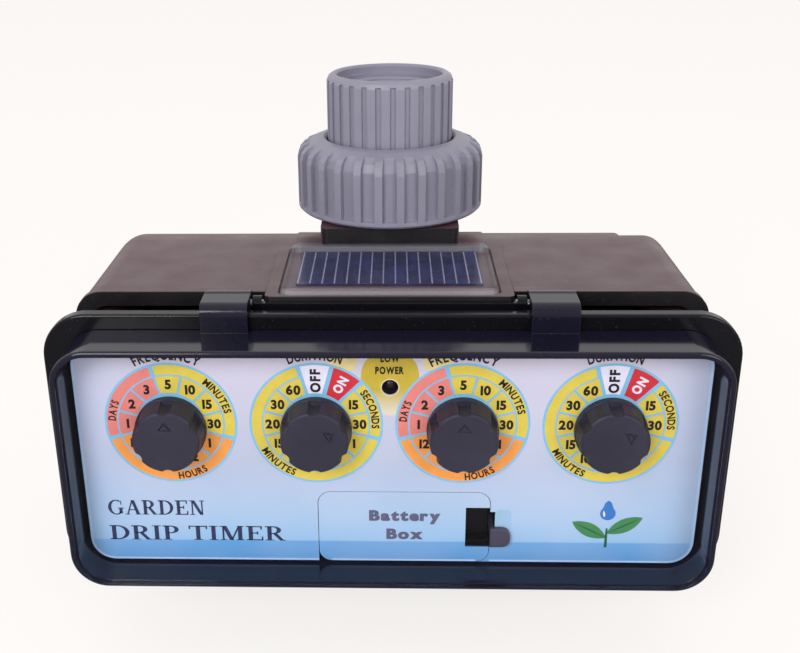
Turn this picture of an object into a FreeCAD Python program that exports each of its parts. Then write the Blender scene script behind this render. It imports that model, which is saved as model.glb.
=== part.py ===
import FreeCAD, Part
import math
import os

# A two-outlet drip irrigation timer that hangs from a garden tap.
# Everything is drawn in a panel frame: x across the front, y into the case, z up,
# with the origin on the printed dial face, in the middle of the row of dials.
# to_row_frame() then moves each piece so that the origin is on the tap inlet's axis,
# at the inner end of the tap thread. All sizes are in millimetres.

V = FreeCAD.Vector
X_AXIS = V(1, 0, 0)
Y_AXIS = V(0, 1, 0)
Z_AXIS = V(0, 0, 1)

# Driving dimensions: dial panel and controls
DIAL_PITCH = 33.0            # between neighbouring dial axes
DIAL_X = (-1.5 * DIAL_PITCH, -0.5 * DIAL_PITCH, 0.5 * DIAL_PITCH, 1.5 * DIAL_PITCH)
DIAL_NAMES = ("left_frequency", "left_duration", "right_frequency", "right_duration")
POINTER_TURN = (0.0, 60.0, 0.0, 60.0)    # clockwise from straight up
DIAL_Z = -0.8
LABEL_HALF = 71.0
LABEL_LOW = -36.05
LABEL_HIGH = 20.1
LABEL_THICK = 0.4
LABEL_CORNER = 5.6
KNOB_HEIGHT = 7.0
KNOB_FACE_R = 7.55
KNOB_BASE_R = 8.1
KNOB_SKIRT = 1.6             # height of the unfluted ring at a knob's foot
KNOB_FLUTES = 6              # one of them in line with the pointer
FLUTE_R = 1.6
FLUTE_PLACE_R = 8.3          # from the knob's axis to a flute's
FACE_ROUND = 0.8
POINTER_DEEP = 0.45
KNOB_GAP = 0.1               # knob skirt to label
SHAFT_R = 2.95
SHAFT_BORE_R = 3.0           # running clearance 0.05 all round
LED_X = 0.2
LED_Z = 9.6
LED_R = 1.5
LED_HOLE_R = 1.87

# Driving dimensions: front housing
BLOCK_HALF = 71.4            # raised block that carries the label
BLOCK_LOW = -36.15
BLOCK_HIGH = 20.2
BLOCK_CORNER = 6.0
FACE_WALL_BACK = 2.6
FLANGE_FRONT = 3.9
FLANGE_BACK = 6.8
FLANGE_HALF = 78.3
FLANGE_LOW = -41.2
FLANGE_HIGH = 25.4
FLANGE_CORNER = 10.4
SKIRT_HALF = 69.3
SKIRT_LOW = -35.6
SKIRT_HIGH = 22.2
SKIRT_CORNER = 6.0
SKIRT_BACK = 13.2
WALL = 2.2

# Driving dimensions: rear housing
BODY_FRONT = 13.7
BODY_HALF = 72.5
BODY_LOW = -38.0
BODY_HIGH = 26.9
BODY_FLAT_END = 53.3         # where the flat top turns into the curved back
BODY_CURVE_R = 34.8
BODY_SIDE_R = 6.0
BODY_FOOT_R = 8.0
LIP_PROUD = 0.35
LIP_BACK = 16.2
RIM_IN = 3.2                 # how far the front rim turns in under the lip
PEDESTAL_HALF = 17.8
PEDESTAL_FRONT = 46.9
PEDESTAL_BACK = 86.6
PEDESTAL_HIGH = 31.9
SADDLE_HALF = 24.7
SADDLE_PROUD = 0.35

# Driving dimensions: tap connection
INLET_Y = 68.6
NUT_LOW = 32.5
NUT_HIGH = 51.4
NUT_RIB_R = 24.8
NUT_ROOT_R = 23.5
NUT_RIBS = 28                # a groove, not a rib, faces the front
NUT_RIB_WIDE = 2.0
NUT_BORE_R = 16.9
COLLAR_R = 16.6
COLLAR_GROOVES = 28
COLLAR_TURN = 3.0            # the collar's first groove, off the nut's middle line
GROOVE_DEEP = 0.55
GROOVE_WIDE = 1.4
RIM_HIGH = 68.0
SEAT_Z = 53.8                # inner end of the tap thread, the row frame's origin
COLLAR_THREAD_R = 13.25      # wall left by a G3/4 internal thread, 26.5 across
COLLAR_THREAD_LONG = 12.0
COLLAR_MOUTH_R = 13.9
REDUCER_R = 13.2             # G3/4 external thread, 26.4 across
REDUCER_HIGH = 65.0
TAP_THREAD_R = 10.5          # wall left by a G1/2 internal thread, 21.0 across
WASHER_LOW = 51.9
FILTER_SLOTS = 16
SPIGOT_BORE_R = 8.5

# Driving dimensions: cover
COVER_FRONT = -8.7
COVER_BACK = 3.6
COVER_HALF = 73.5
COVER_LOW = -37.9
COVER_HIGH = 21.9
COVER_CORNER = 8.4
COVER_SIDE_WALL = 1.6
COVER_LOW_WALL = 1.15
COVER_RIM = 1.3
WINDOW_THICK = 1.3
HINGE_Y = 10.4
HINGE_Z = 25.6
BARREL_R = 3.0
PIN_R = 1.0
PIN_CLEARANCE = 0.05
ARM_X = 36.4
ARM_HALF = 5.25
ARM_TOP = 28.4
ARM_FRONT = 1.6
LUG_THICK = 2.2
LUG_GAP = 0.25
LUG_R = 1.9
PIN_PROUD = 0.3              # how far a hinge pin's end stands out of its lug
LUG_NEAR = ARM_X - ARM_HALF - LUG_GAP    # the lug's face beside its arm

# Driving dimensions: battery box
DOOR_LOW = -36.0
DOOR_HIGH = -17.25
DOOR_LEFT = -16.55
DOOR_RIGHT = 23.35
DOOR_GAP = 0.15
DOOR_CORNER = 3.0
DOOR_PLATE_BACK = 2.4
TRAY_LOW = -31.6
TRAY_BACK = 54.0
TRAY_WALL = 1.6
CELL_R = 5.2                 # AAA cells
CELL_LONG = 44.5
CELL_PITCH = 12.2
LATCH_LEFT = 23.45           # the tab's flat end, beside the finger hole
LATCH_RIGHT = 28.2
LATCH_HALF_HIGH = 2.5
LATCH_Z = -28.8
LATCH_TRAVEL = 5.0
LATCH_FRONT = -1.3
LATCH_CORNER = 2.0
STEM_LEFT = 23.7
STEM_RIGHT = 24.6
STEM_HALF_HIGH = 1.2
STEM_GAP = 0.2

# Driving dimensions: valves
VALVE_X = 46.0
VALVE_R = 15.8
OUTLET_THREAD_R = 13.2       # G3/4 external thread, 26.4 across
OUTLET_END = -58.0
OUTLET_SHOULDER = -41.5      # where the outlet's thread stops, under the case
OUTLET_BORE_R = 9.0
PIPE_Z = -20.0
COIL_R = 9.3
PLUNGER_R = 3.5
BONNET_SCREW_PLACE_R = 13.6
BONNET_SCREW_R = 0.95
BONNET_HOLE_R = 1.1
SPRING_R = 1.7
SPRING_WIRE_R = 0.22
WIRE_R = 0.6


# ---------------------------------------------------------------- helpers

def box(x0, x1, y0, y1, z0, z1):
    return Part.makeBox(x1 - x0, y1 - y0, z1 - z0, V(x0, y0, z0))


def cylinder(radius, start, direction, length):
    return Part.makeCylinder(radius, length, start, direction)


def ring(outer, inner, x, y, z0, z1):
    """An upright ring about (x, y)."""
    hole = cylinder(inner, V(x, y, z0 - 1), Z_AXIS, z1 - z0 + 2)
    return cylinder(outer, V(x, y, z0), Z_AXIS, z1 - z0).cut(hole)


def fuse(shapes):
    whole = shapes[0]
    for shape in shapes[1:]:
        whole = whole.fuse(shape)
    return whole.removeSplitter()


def cut_all(shape, tools):
    for tool in tools:
        shape = shape.cut(tool)
    return shape


def edges_along(shape, direction):
    """The straight edges parallel to a direction."""
    found = []
    for edge in shape.Edges:
        if not isinstance(edge.Curve, (Part.Line, Part.LineSegment)):
            continue
        if abs(abs(edge.Curve.Direction.dot(direction)) - 1) < 1e-6:
            found.append(edge)
    return found


def rounded_box(x0, x1, y0, y1, z0, z1, radius, direction):
    """A box whose four edges along a direction are rounded."""
    plain = box(x0, x1, y0, y1, z0, z1)
    return plain.makeFillet(radius, edges_along(plain, direction))


def panel(half, low, high, corner, front, back):
    """A rounded plate parallel to the dial face."""
    return rounded_box(-half, half, front, back, low, high, corner, Y_AXIS)


def revolve(points, x=0.0, y=INLET_Y):
    """Turns an (r, z) outline about the upright line through (x, y)."""
    corners = [V(x + r, y, z) for r, z in points]
    wire = Part.makePolygon(corners + corners[:1])
    return Part.Face(wire).revolve(V(x, y, 0), Z_AXIS, 360)


def prism_x(points, x0, x1):
    """Extrudes a (y, z) outline across x."""
    corners = [V(x0, y, z) for y, z in points]
    wire = Part.makePolygon(corners + corners[:1])
    return Part.Face(wire).extrude(V(x1 - x0, 0, 0))


def around_dials(radius, front, back):
    """One cylinder per dial, from front to back."""
    return [cylinder(radius, V(x, front, DIAL_Z), Y_AXIS, back - front) for x in DIAL_X]


def to_row_frame(shape):
    moved = shape.copy()
    moved.translate(V(0, -INLET_Y, -SEAT_Z))
    return moved


def save(name, shape):
    to_row_frame(shape).exportStep("parts/" + name + ".step")


# ---------------------------------------------------------------- rear housing

def body_solid(inset):
    """The rear housing's outer form, drawn in by an inset on every side but the front."""
    top = BODY_HIGH - inset
    low = BODY_LOW + inset
    half = BODY_HALF - inset
    curve = BODY_CURVE_R - inset
    back = BODY_FLAT_END + curve
    foot = BODY_FOOT_R - inset
    centre_z = BODY_HIGH - BODY_CURVE_R
    slant = math.sqrt(0.5)
    start = V(-half, BODY_FRONT, low)
    foot_start = V(-half, back - foot, low)
    foot_mid = V(-half, back - foot + foot * slant, low + foot - foot * slant)
    foot_end = V(-half, back, low + foot)
    curve_start = V(-half, back, centre_z)
    curve_mid = V(-half, BODY_FLAT_END + curve * slant, centre_z + curve * slant)
    curve_end = V(-half, BODY_FLAT_END, top)
    front_top = V(-half, BODY_FRONT, top)
    outline = Part.Wire([
        Part.makeLine(start, foot_start),
        Part.Arc(foot_start, foot_mid, foot_end).toShape(),
        Part.makeLine(foot_end, curve_start),
        Part.Arc(curve_start, curve_mid, curve_end).toShape(),
        Part.makeLine(curve_end, front_top),
        Part.makeLine(front_top, start),
    ])
    solid = Part.Face(outline).extrude(V(2 * half, 0, 0))
    side_edges = [e for e in solid.Edges if is_side_edge(e, half)]
    return solid.makeFillet(BODY_SIDE_R - inset, side_edges)


def is_side_edge(edge, half):
    """True for an edge round either end of the extruded body, but not along its open front."""
    xs = [v.X for v in edge.Vertexes]
    ys = [v.Y for v in edge.Vertexes]
    at_end = all(abs(abs(x) - half) < 1e-6 for x in xs) and abs(sum(xs)) > half
    on_front = all(abs(y - BODY_FRONT) < 1e-6 for y in ys)
    return at_end and not on_front


CASE_SCREW_X = 66.4
CASE_SCREW_Z = (-30.5, 17.6)
CASE_POST_R = 3.4
CASE_HEAD_SEAT = 24.0
CASE_SCREW_R = 1.5


def case_screw_places():
    return [(sx * CASE_SCREW_X, z) for sx in (-1, 1) for z in CASE_SCREW_Z]


def rear_housing():
    outer = body_solid(0)
    lip = panel(BODY_HALF + LIP_PROUD, BODY_LOW - LIP_PROUD, BODY_HIGH + LIP_PROUD,
                BODY_SIDE_R + LIP_PROUD, BODY_FRONT, LIP_BACK)
    saddle_box = box(-SADDLE_HALF, SADDLE_HALF, 40.0, 100.0, -15.0, 40.0)
    saddle = body_solid(-SADDLE_PROUD).common(saddle_box)
    pedestal = rounded_box(-PEDESTAL_HALF, PEDESTAL_HALF, PEDESTAL_FRONT, PEDESTAL_BACK,
                           -10.0, PEDESTAL_HIGH, 2.0, Z_AXIS)
    form = fuse([outer, lip, saddle, pedestal])
    hollow = body_solid(WALL)
    hollow = hollow.common(box(-100, 100, BODY_FRONT + WALL, 100, -100, 100))
    mouth = panel(BODY_HALF - RIM_IN, BODY_LOW + RIM_IN, BODY_HIGH - RIM_IN,
                  4.0, BODY_FRONT - 1, BODY_FRONT + WALL + 1)
    pedestal_room = box(-PEDESTAL_HALF + WALL, PEDESTAL_HALF - WALL,
                        PEDESTAL_FRONT + WALL, PEDESTAL_BACK - WALL, -10.0,
                        PEDESTAL_HIGH - WALL)
    shell = cut_all(form, [hollow, mouth, pedestal_room])
    shell = fuse([shell] + case_posts(outer))
    shell = cut_all(shell, case_post_holes())
    shell = cut_all(shell, [spigot_hole(), corner_step(), solar_seat()] + outlet_holes())
    return shell


def case_posts(outer):
    posts = []
    for x, z in case_screw_places():
        post = cylinder(CASE_POST_R + 0.9, V(x, BODY_FRONT + 0.1, z), Y_AXIS, 80)
        room = box(-100, 100, BODY_FRONT + 0.1, CASE_HEAD_SEAT + 70, -100, 100)
        posts.append(post.common(outer).common(room))
    return posts


def case_post_holes():
    holes = []
    for x, z in case_screw_places():
        holes.append(cylinder(CASE_SCREW_R + 0.2, V(x, BODY_FRONT - 1, z), Y_AXIS, 20))
        holes.append(cylinder(CASE_POST_R, V(x, CASE_HEAD_SEAT, z), Y_AXIS, 80))
    return holes


def spigot_hole():
    return cylinder(15.1, V(0, INLET_Y, 20), Z_AXIS, 20)


def corner_step():
    """The stepped-in patch on the right rear corner of the case."""
    patch = box(60.5, 90, 57.0, 100, -6.0, 40)
    return patch.common(body_solid(-1)).cut(body_solid(1.0))


def outlet_holes():
    return [cylinder(13.7, V(sx * VALVE_X, INLET_Y, BODY_LOW - 2), Z_AXIS, 8)
            for sx in (-1, 1)]


# ---------------------------------------------------------------- solar unit

SOLAR_HALF = 28.25
SOLAR_FRONT = 10.0
SOLAR_BACK = 46.5
SOLAR_SEAT = 25.2
SOLAR_HIGH = 27.4
SOLAR_FLOOR = 26.2
LENS_HALF = 25.15
LENS_FRONT = 11.05
LENS_BACK = 45.25
LENS_HIGH = 28.9
LENS_WALL = 1.0
SOLAR_CELL_HALF = 22.0
SOLAR_CELL_FRONT = 20.3
SOLAR_CELL_BACK = 44.2


def solar_seat():
    recess = box(-SOLAR_HALF - 0.1, SOLAR_HALF + 0.1, BODY_FRONT - 1, SOLAR_BACK + 0.1,
                 SOLAR_SEAT, 40)
    opening = box(-SOLAR_HALF + 3, SOLAR_HALF - 3, BODY_FRONT + WALL + 0.6,
                  SOLAR_BACK - 3, 20, 40)
    return recess.fuse(opening)


def solar_bezel():
    frame = rounded_box(-SOLAR_HALF, SOLAR_HALF, SOLAR_FRONT, SOLAR_BACK,
                        SOLAR_SEAT, SOLAR_HIGH, 1.5, Z_AXIS)
    pocket = rounded_box(-LENS_HALF - 0.25, LENS_HALF + 0.25, LENS_FRONT - 0.25,
                         LENS_BACK + 0.25, SOLAR_FLOOR, 40, 2.6, Z_AXIS)
    return frame.cut(pocket)


def solar_cell():
    return box(-SOLAR_CELL_HALF, SOLAR_CELL_HALF, SOLAR_CELL_FRONT, SOLAR_CELL_BACK,
               SOLAR_FLOOR, SOLAR_FLOOR + 0.4)


def solar_lens():
    block = rounded_box(-LENS_HALF, LENS_HALF, LENS_FRONT, LENS_BACK,
                        SOLAR_FLOOR, LENS_HIGH, 2.4, Z_AXIS)
    top_edges = [e for e in block.Edges if all(v.Z > LENS_HIGH - 1e-6 for v in e.Vertexes)]
    block = block.makeFillet(1.6, top_edges)
    room = rounded_box(-LENS_HALF + LENS_WALL, LENS_HALF - LENS_WALL,
                       LENS_FRONT + LENS_WALL, LENS_BACK - LENS_WALL,
                       SOLAR_FLOOR - 1, LENS_HIGH - LENS_WALL, 1.6, Z_AXIS)
    return block.cut(room)


# ---------------------------------------------------------------- front housing

PAD_LEFT = -20.0
PAD_RIGHT = 31.0
PAD_HIGH = -14.5
LEDGE_FRONT = 8.5
LEDGE_BACK = 10.0
LEDGE_HIGH = 26.4


def front_housing():
    block = panel(BLOCK_HALF, BLOCK_LOW, BLOCK_HIGH, BLOCK_CORNER, LABEL_THICK, FLANGE_BACK)
    flange = panel(FLANGE_HALF, FLANGE_LOW, FLANGE_HIGH, FLANGE_CORNER,
                   FLANGE_FRONT, FLANGE_BACK)
    front_edges = [e for e in flange.Edges
                   if all(v.Y < FLANGE_FRONT + 1e-6 for v in e.Vertexes)]
    flange = flange.makeFillet(0.6, front_edges)
    skirt = panel(SKIRT_HALF, SKIRT_LOW, SKIRT_HIGH, SKIRT_CORNER, FLANGE_BACK - 0.5,
                  SKIRT_BACK)
    room = panel(SKIRT_HALF - WALL, SKIRT_LOW + WALL, SKIRT_HIGH - WALL,
                 SKIRT_CORNER - WALL, FACE_WALL_BACK, SKIRT_BACK + 1)
    pad = box(PAD_LEFT, PAD_RIGHT, FACE_WALL_BACK - 0.5, FLANGE_BACK, SKIRT_LOW + 1, PAD_HIGH)
    shell = fuse([block, flange, skirt]).cut(room)
    ledge = box(-LUG_NEAR, LUG_NEAR, LEDGE_FRONT, LEDGE_BACK, SKIRT_HIGH - 1, LEDGE_HIGH)
    shell = fuse([shell, pad, ledge] + hinge_lugs() + case_bosses() + board_bosses())
    shell = cut_all(shell, battery_openings() + [latch_slot(0, FLANGE_BACK + 1)])
    shell = cut_all(shell, around_dials(3.55, 0, FLANGE_BACK) + front_screw_holes())
    for sx in (-1, 1):
        shell = shell.cut(hinge_pin(sx))
    led_hole = cylinder(LED_HOLE_R, V(LED_X, 0, LED_Z), Y_AXIS, FLANGE_BACK)
    return shell.cut(led_hole)


def hinge_lugs():
    """An eye beside each cover arm, towards the middle of the case."""
    lugs = []
    for sx in (-1, 1):
        near = sx * LUG_NEAR
        far = sx * (LUG_NEAR - LUG_THICK)
        low = min(near, far)
        block = box(low, low + LUG_THICK, HINGE_Y - LUG_R, HINGE_Y + LUG_R, SKIRT_HIGH - 1,
                    HINGE_Z)
        lugs.append(block.fuse(cylinder(LUG_R, V(low, HINGE_Y, HINGE_Z), X_AXIS, LUG_THICK)))
    return lugs


def case_bosses():
    front = FLANGE_FRONT + 0.3
    limit = panel(SKIRT_HALF, SKIRT_LOW, SKIRT_HIGH, SKIRT_CORNER, front, SKIRT_BACK)
    return [cylinder(CASE_POST_R, V(x, front, z), Y_AXIS, SKIRT_BACK - front).common(limit)
            for x, z in case_screw_places()]


BOARD_FRONT = 13.4
BOARD_BACK = 15.0
PLUG_BACK = 21.0
BOARD_HALF = 61.5
BOARD_SCREW_X = 58.5
BOARD_SCREW_R = 1.0
BOARD_SCREW_PLACES = [(sx * BOARD_SCREW_X, z) for sx in (-1, 1) for z in (14.5, -10.5)]


def board_bosses():
    bosses = []
    for x, z in BOARD_SCREW_PLACES:
        boss = cylinder(2.4, V(x, FACE_WALL_BACK - 0.5, z), Y_AXIS,
                        BOARD_FRONT - FACE_WALL_BACK + 0.5)
        bosses.append(boss)
    return bosses


def front_screw_holes():
    case_holes = [cylinder(CASE_SCREW_R, V(x, 5.0, z), Y_AXIS, 20)
                  for x, z in case_screw_places()]
    board_holes = [cylinder(BOARD_SCREW_R, V(x, 6.0, z), Y_AXIS, 20)
                   for x, z in BOARD_SCREW_PLACES]
    return case_holes + board_holes


def battery_openings():
    plate_recess = box(DOOR_LEFT - DOOR_GAP, DOOR_RIGHT + DOOR_GAP, 0, FACE_WALL_BACK,
                       BLOCK_LOW - 1, DOOR_HIGH + DOOR_GAP)
    throat = box(DOOR_LEFT - DOOR_GAP, DOOR_RIGHT + DOOR_GAP, 0, FLANGE_BACK + 1,
                 TRAY_LOW - 0.2, DOOR_HIGH + DOOR_GAP)
    return [plate_recess, throat]


def latch_slot(front, back):
    """The upright slot beside the battery door that the latch's stem slides in."""
    half = STEM_HALF_HIGH + STEM_GAP
    return box(DOOR_RIGHT, STEM_RIGHT + STEM_GAP, front, back,
               LATCH_Z - half, LATCH_Z + half + LATCH_TRAVEL)


def case_gasket():
    outer = panel(SKIRT_HALF, SKIRT_LOW, SKIRT_HIGH, SKIRT_CORNER, SKIRT_BACK, BODY_FRONT)
    inner = panel(SKIRT_HALF - WALL, SKIRT_LOW + WALL, SKIRT_HIGH - WALL,
                  SKIRT_CORNER - WALL, SKIRT_BACK - 1, BODY_FRONT + 1)
    holes = []
    for x, z in case_screw_places():
        holes.append(cylinder(CASE_SCREW_R + 0.2, V(x, SKIRT_BACK - 1, z), Y_AXIS, 3))
    return cut_all(outer.cut(inner), holes)


def case_screws():
    screws = []
    for x, z in case_screw_places():
        shank = cylinder(CASE_SCREW_R, V(x, 5.5, z), Y_AXIS, CASE_HEAD_SEAT - 5.5)
        head = cylinder(2.9, V(x, CASE_HEAD_SEAT, z), Y_AXIS, 2.0)
        cross = box(x - 0.4, x + 0.4, CASE_HEAD_SEAT + 1.0, 40, z - 1.8, z + 1.8)
        cross = cross.fuse(box(x - 1.8, x + 1.8, CASE_HEAD_SEAT + 1.0, 40, z - 0.4, z + 0.4))
        screws.append(shank.fuse(head).cut(cross))
    return Part.makeCompound(screws)


def face_label():
    sheet = panel(LABEL_HALF, LABEL_LOW, LABEL_HIGH, LABEL_CORNER, 0, LABEL_THICK)
    led_hole = cylinder(LED_HOLE_R, V(LED_X, -1, LED_Z), Y_AXIS, 2)
    holes = around_dials(SHAFT_R + 0.65, -1, 1)
    return cut_all(sheet, [label_door_opening(), latch_slot(-1, 1), led_hole] + holes)


def label_door_opening():
    """Follows the door's corners, but for the square one at its lower left."""
    left = DOOR_LEFT - DOOR_GAP
    low = LABEL_LOW - 1
    opening = box(left, DOOR_RIGHT + DOOR_GAP, -1, 1, DOOR_LOW - DOOR_GAP, DOOR_HIGH + DOOR_GAP)
    lower_left = [e for e in edges_along(opening, Y_AXIS)
                  if all(v.X < left + 1e-6 and v.Z < DOOR_LOW for v in e.Vertexes)]
    rounded = [e for e in edges_along(opening, Y_AXIS)
               if not any(e.isSame(other) for other in lower_left)]
    opening = opening.makeFillet(DOOR_CORNER + DOOR_GAP, rounded)
    foot = box(left, DOOR_RIGHT + DOOR_GAP - DOOR_CORNER, -1, 1, low, DOOR_LOW + 0.1)
    return opening.fuse(foot)


# ---------------------------------------------------------------- knobs, switches, board

def knob(x, turn):
    """A fluted, slightly tapered knob with a triangular pointer sunk in its face."""
    back = -KNOB_GAP
    front = back - KNOB_HEIGHT
    skirt_front = back - KNOB_SKIRT
    base = cylinder(KNOB_BASE_R, V(x, back, DIAL_Z), -Y_AXIS, KNOB_SKIRT)
    grip = Part.makeCone(KNOB_BASE_R - 0.15, KNOB_FACE_R, KNOB_HEIGHT - KNOB_SKIRT,
                         V(x, skirt_front, DIAL_Z), -Y_AXIS)
    face_edges = [e for e in grip.Edges if all(v.Y < front + 1e-6 for v in e.Vertexes)
                  and isinstance(e.Curve, Part.Circle)]
    grip = grip.makeFillet(FACE_ROUND, face_edges)
    for i in range(KNOB_FLUTES):
        angle = 2 * math.pi * i / KNOB_FLUTES
        place = V(x + FLUTE_PLACE_R * math.sin(angle), skirt_front,
                  DIAL_Z + FLUTE_PLACE_R * math.cos(angle))
        grip = grip.cut(cylinder(FLUTE_R, place, -Y_AXIS, KNOB_HEIGHT))
    body = base.fuse(grip).removeSplitter()
    bore = cylinder(SHAFT_R, V(x, 0.5, DIAL_Z), -Y_AXIS, 5.6)
    body = body.cut(bore).cut(pointer_groove(x, front))
    body.rotate(V(x, 0, DIAL_Z), Y_AXIS, turn)
    return body


def pointer_groove(x, front):
    """A hollow triangle that points up, with a raised middle."""
    outer = pointer_prism(x, front, 5.1, 2.9, 1.75)
    inner = pointer_prism(x, front, 4.25, 3.35, 0.95)
    return outer.cut(inner)


def pointer_prism(x, front, tip, foot, half):
    corners = [V(x, front, DIAL_Z + tip), V(x + half, front, DIAL_Z + foot),
               V(x - half, front, DIAL_Z + foot)]
    wire = Part.makePolygon(corners + corners[:1])
    return Part.Face(wire).extrude(V(0, POINTER_DEEP, 0))


def shaft(x, turn):
    """A switch shaft with a flat along its front end."""
    rod = cylinder(SHAFT_R, V(x, -5.0, DIAL_Z), Y_AXIS, 17.0)
    flat = box(x - 4, x + 4, -5.5, -0.6, DIAL_Z - 4, DIAL_Z - SHAFT_R + 0.9)
    rod = rod.cut(flat)
    rod.rotate(V(x, 0, DIAL_Z), Y_AXIS, turn)
    return rod


def rotary_switches():
    switches = []
    for x in DIAL_X:
        bush = cylinder(3.5, V(x, 0.6, DIAL_Z), Y_AXIS, 4.4)
        drum = cylinder(8.0, V(x, 4.6, DIAL_Z), Y_AXIS, BOARD_FRONT - 4.6)
        foot = box(x - 6.0, x + 6.0, 9.5, BOARD_FRONT, DIAL_Z - 9.0, DIAL_Z)
        bore = cylinder(SHAFT_BORE_R, V(x, 0, DIAL_Z), Y_AXIS, 12.2)
        switches.append(fuse([bush, drum, foot]).cut(bore))
    return Part.makeCompound(switches)


def control_board():
    board = box(-BOARD_HALF, BOARD_HALF, BOARD_FRONT, BOARD_BACK, -13.5, 17.5)
    holes = [cylinder(BOARD_SCREW_R + 0.3, V(x, 10, z), Y_AXIS, 10)
             for x, z in BOARD_SCREW_PLACES]
    return cut_all(board, holes)


def board_screws():
    screws = []
    for x, z in BOARD_SCREW_PLACES:
        shank = cylinder(BOARD_SCREW_R, V(x, 7.0, z), Y_AXIS, BOARD_BACK - 7.0)
        head = cylinder(2.2, V(x, BOARD_BACK, z), Y_AXIS, 1.4)
        slot = box(x - 1.6, x + 1.6, BOARD_BACK + 0.8, 20, z - 0.3, z + 0.3)
        screws.append(shank.fuse(head).cut(slot))
    return Part.makeCompound(screws)


def timer_chip():
    package = box(-6.0, 6.0, BOARD_BACK + 0.3, BOARD_BACK + 2.1, 2.0, 9.5)
    legs = []
    for i in range(8):
        x = -5.0 + i * 10.0 / 7
        legs.append(box(x - 0.25, x + 0.25, BOARD_BACK, BOARD_BACK + 1.0, 0.9, 2.2))
        legs.append(box(x - 0.25, x + 0.25, BOARD_BACK, BOARD_BACK + 1.0, 9.3, 10.6))
    return fuse([package] + legs)


def board_capacitors():
    cans = []
    for x in (-30.0, 30.0):
        can = cylinder(5.0, V(x, BOARD_BACK, 6.0), Y_AXIS, 12.0)
        rim = [e for e in can.Edges if all(v.Y > BOARD_BACK + 11 for v in e.Vertexes)]
        cans.append(can.makeFillet(0.6, [e for e in rim if isinstance(e.Curve, Part.Circle)]))
    return Part.makeCompound(cans)


def board_plugs():
    """The three plug-in wire connectors: solar unit, battery box and solenoids."""
    plugs = []
    for x in (-14.0, 14.0, 44.0):
        plugs.append(box(x - 4.0, x + 4.0, BOARD_BACK, PLUG_BACK, -9.5, -4.5))
    return Part.makeCompound(plugs)


def low_power_led():
    stem = cylinder(LED_R, V(LED_X, 2.6, LED_Z), Y_AXIS, 4.4)
    dome = Part.makeSphere(LED_R, V(LED_X, 2.6, LED_Z))
    collar = cylinder(LED_R + 0.3, V(LED_X, 6.2, LED_Z), Y_AXIS, 0.9)
    legs = [box(LED_X + dx - 0.25, LED_X + dx + 0.25, 7.0, BOARD_FRONT, LED_Z - 0.25,
                LED_Z + 0.25) for dx in (-1.0, 1.0)]
    return fuse([stem, dome, collar] + legs)


# ---------------------------------------------------------------- cover and hinge

def cover_frame():
    """The flip-up cover's frame: four thin walls, a rim for the window and two hinge arms."""
    outer = panel(COVER_HALF, COVER_LOW, COVER_HIGH, COVER_CORNER, COVER_FRONT, COVER_BACK)
    front_edges = [e for e in outer.Edges
                   if all(v.Y < COVER_FRONT + 1e-6 for v in e.Vertexes)]
    outer = outer.makeFillet(0.7, front_edges)
    room = panel(COVER_HALF - COVER_SIDE_WALL, COVER_LOW + COVER_LOW_WALL,
                 COVER_HIGH - COVER_SIDE_WALL, COVER_CORNER - COVER_SIDE_WALL,
                 COVER_FRONT - 1, COVER_BACK + 1)
    seat = panel(COVER_HALF - COVER_RIM, COVER_LOW + COVER_RIM - 0.4,
                 COVER_HIGH - COVER_RIM, COVER_CORNER - COVER_RIM,
                 COVER_FRONT - 1, COVER_FRONT + WINDOW_THICK)
    walls = outer.cut(room).cut(seat)
    arms = [cover_arm(sx * ARM_X) for sx in (-1, 1)]
    whole = fuse([walls] + arms)
    bores = [cylinder(PIN_R + PIN_CLEARANCE, V(sx * ARM_X - 10, HINGE_Y, HINGE_Z), X_AXIS, 20)
             for sx in (-1, 1)]
    return cut_all(whole, bores)


def cover_arm(x):
    """A hook that runs from the cover's top wall, over the flange, to its hinge barrel."""
    low = x - ARM_HALF
    outline = [(ARM_FRONT, COVER_HIGH - 0.8), (ARM_FRONT, ARM_TOP), (HINGE_Y, ARM_TOP),
               (HINGE_Y, HINGE_Z + 0.05), (COVER_BACK, HINGE_Z + 0.05),
               (COVER_BACK, COVER_HIGH - 0.8)]
    hook = prism_x(outline, low, low + 2 * ARM_HALF)
    brow = [e for e in edges_along(hook, X_AXIS)
            if all(v.Z > ARM_TOP - 1e-6 and v.Y < ARM_FRONT + 1e-6 for v in e.Vertexes)]
    hook = hook.makeFillet(2.4, brow)
    barrel = cylinder(BARREL_R, V(low, HINGE_Y, HINGE_Z), X_AXIS, 2 * ARM_HALF)
    return hook.fuse(barrel)


def cover_window():
    return panel(COVER_HALF - COVER_RIM, COVER_LOW + COVER_RIM - 0.4,
                 COVER_HIGH - COVER_RIM, COVER_CORNER - COVER_RIM,
                 COVER_FRONT + 0.15, COVER_FRONT + WINDOW_THICK)


def hinge_pin(sx):
    """A pin through the lug and most of the arm's barrel."""
    inner = LUG_NEAR - LUG_THICK - PIN_PROUD
    outer = ARM_X + ARM_HALF - 0.5
    return cylinder(PIN_R, V(sx * inner, HINGE_Y, HINGE_Z), X_AXIS * sx, outer - inner)


def cover_hinge_pins():
    return Part.makeCompound([hinge_pin(sx) for sx in (-1, 1)])


# ---------------------------------------------------------------- battery box

FINGER_LEFT = 17.8
FINGER_LOW = -32.0
FINGER_HIGH = -21.3
FINGER_DEEP = 5.0
TRAY_ROOM_FRONT = 6.6
TONGUE_FRONT = 7.6
TONGUE_BACK = 9.4


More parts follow.
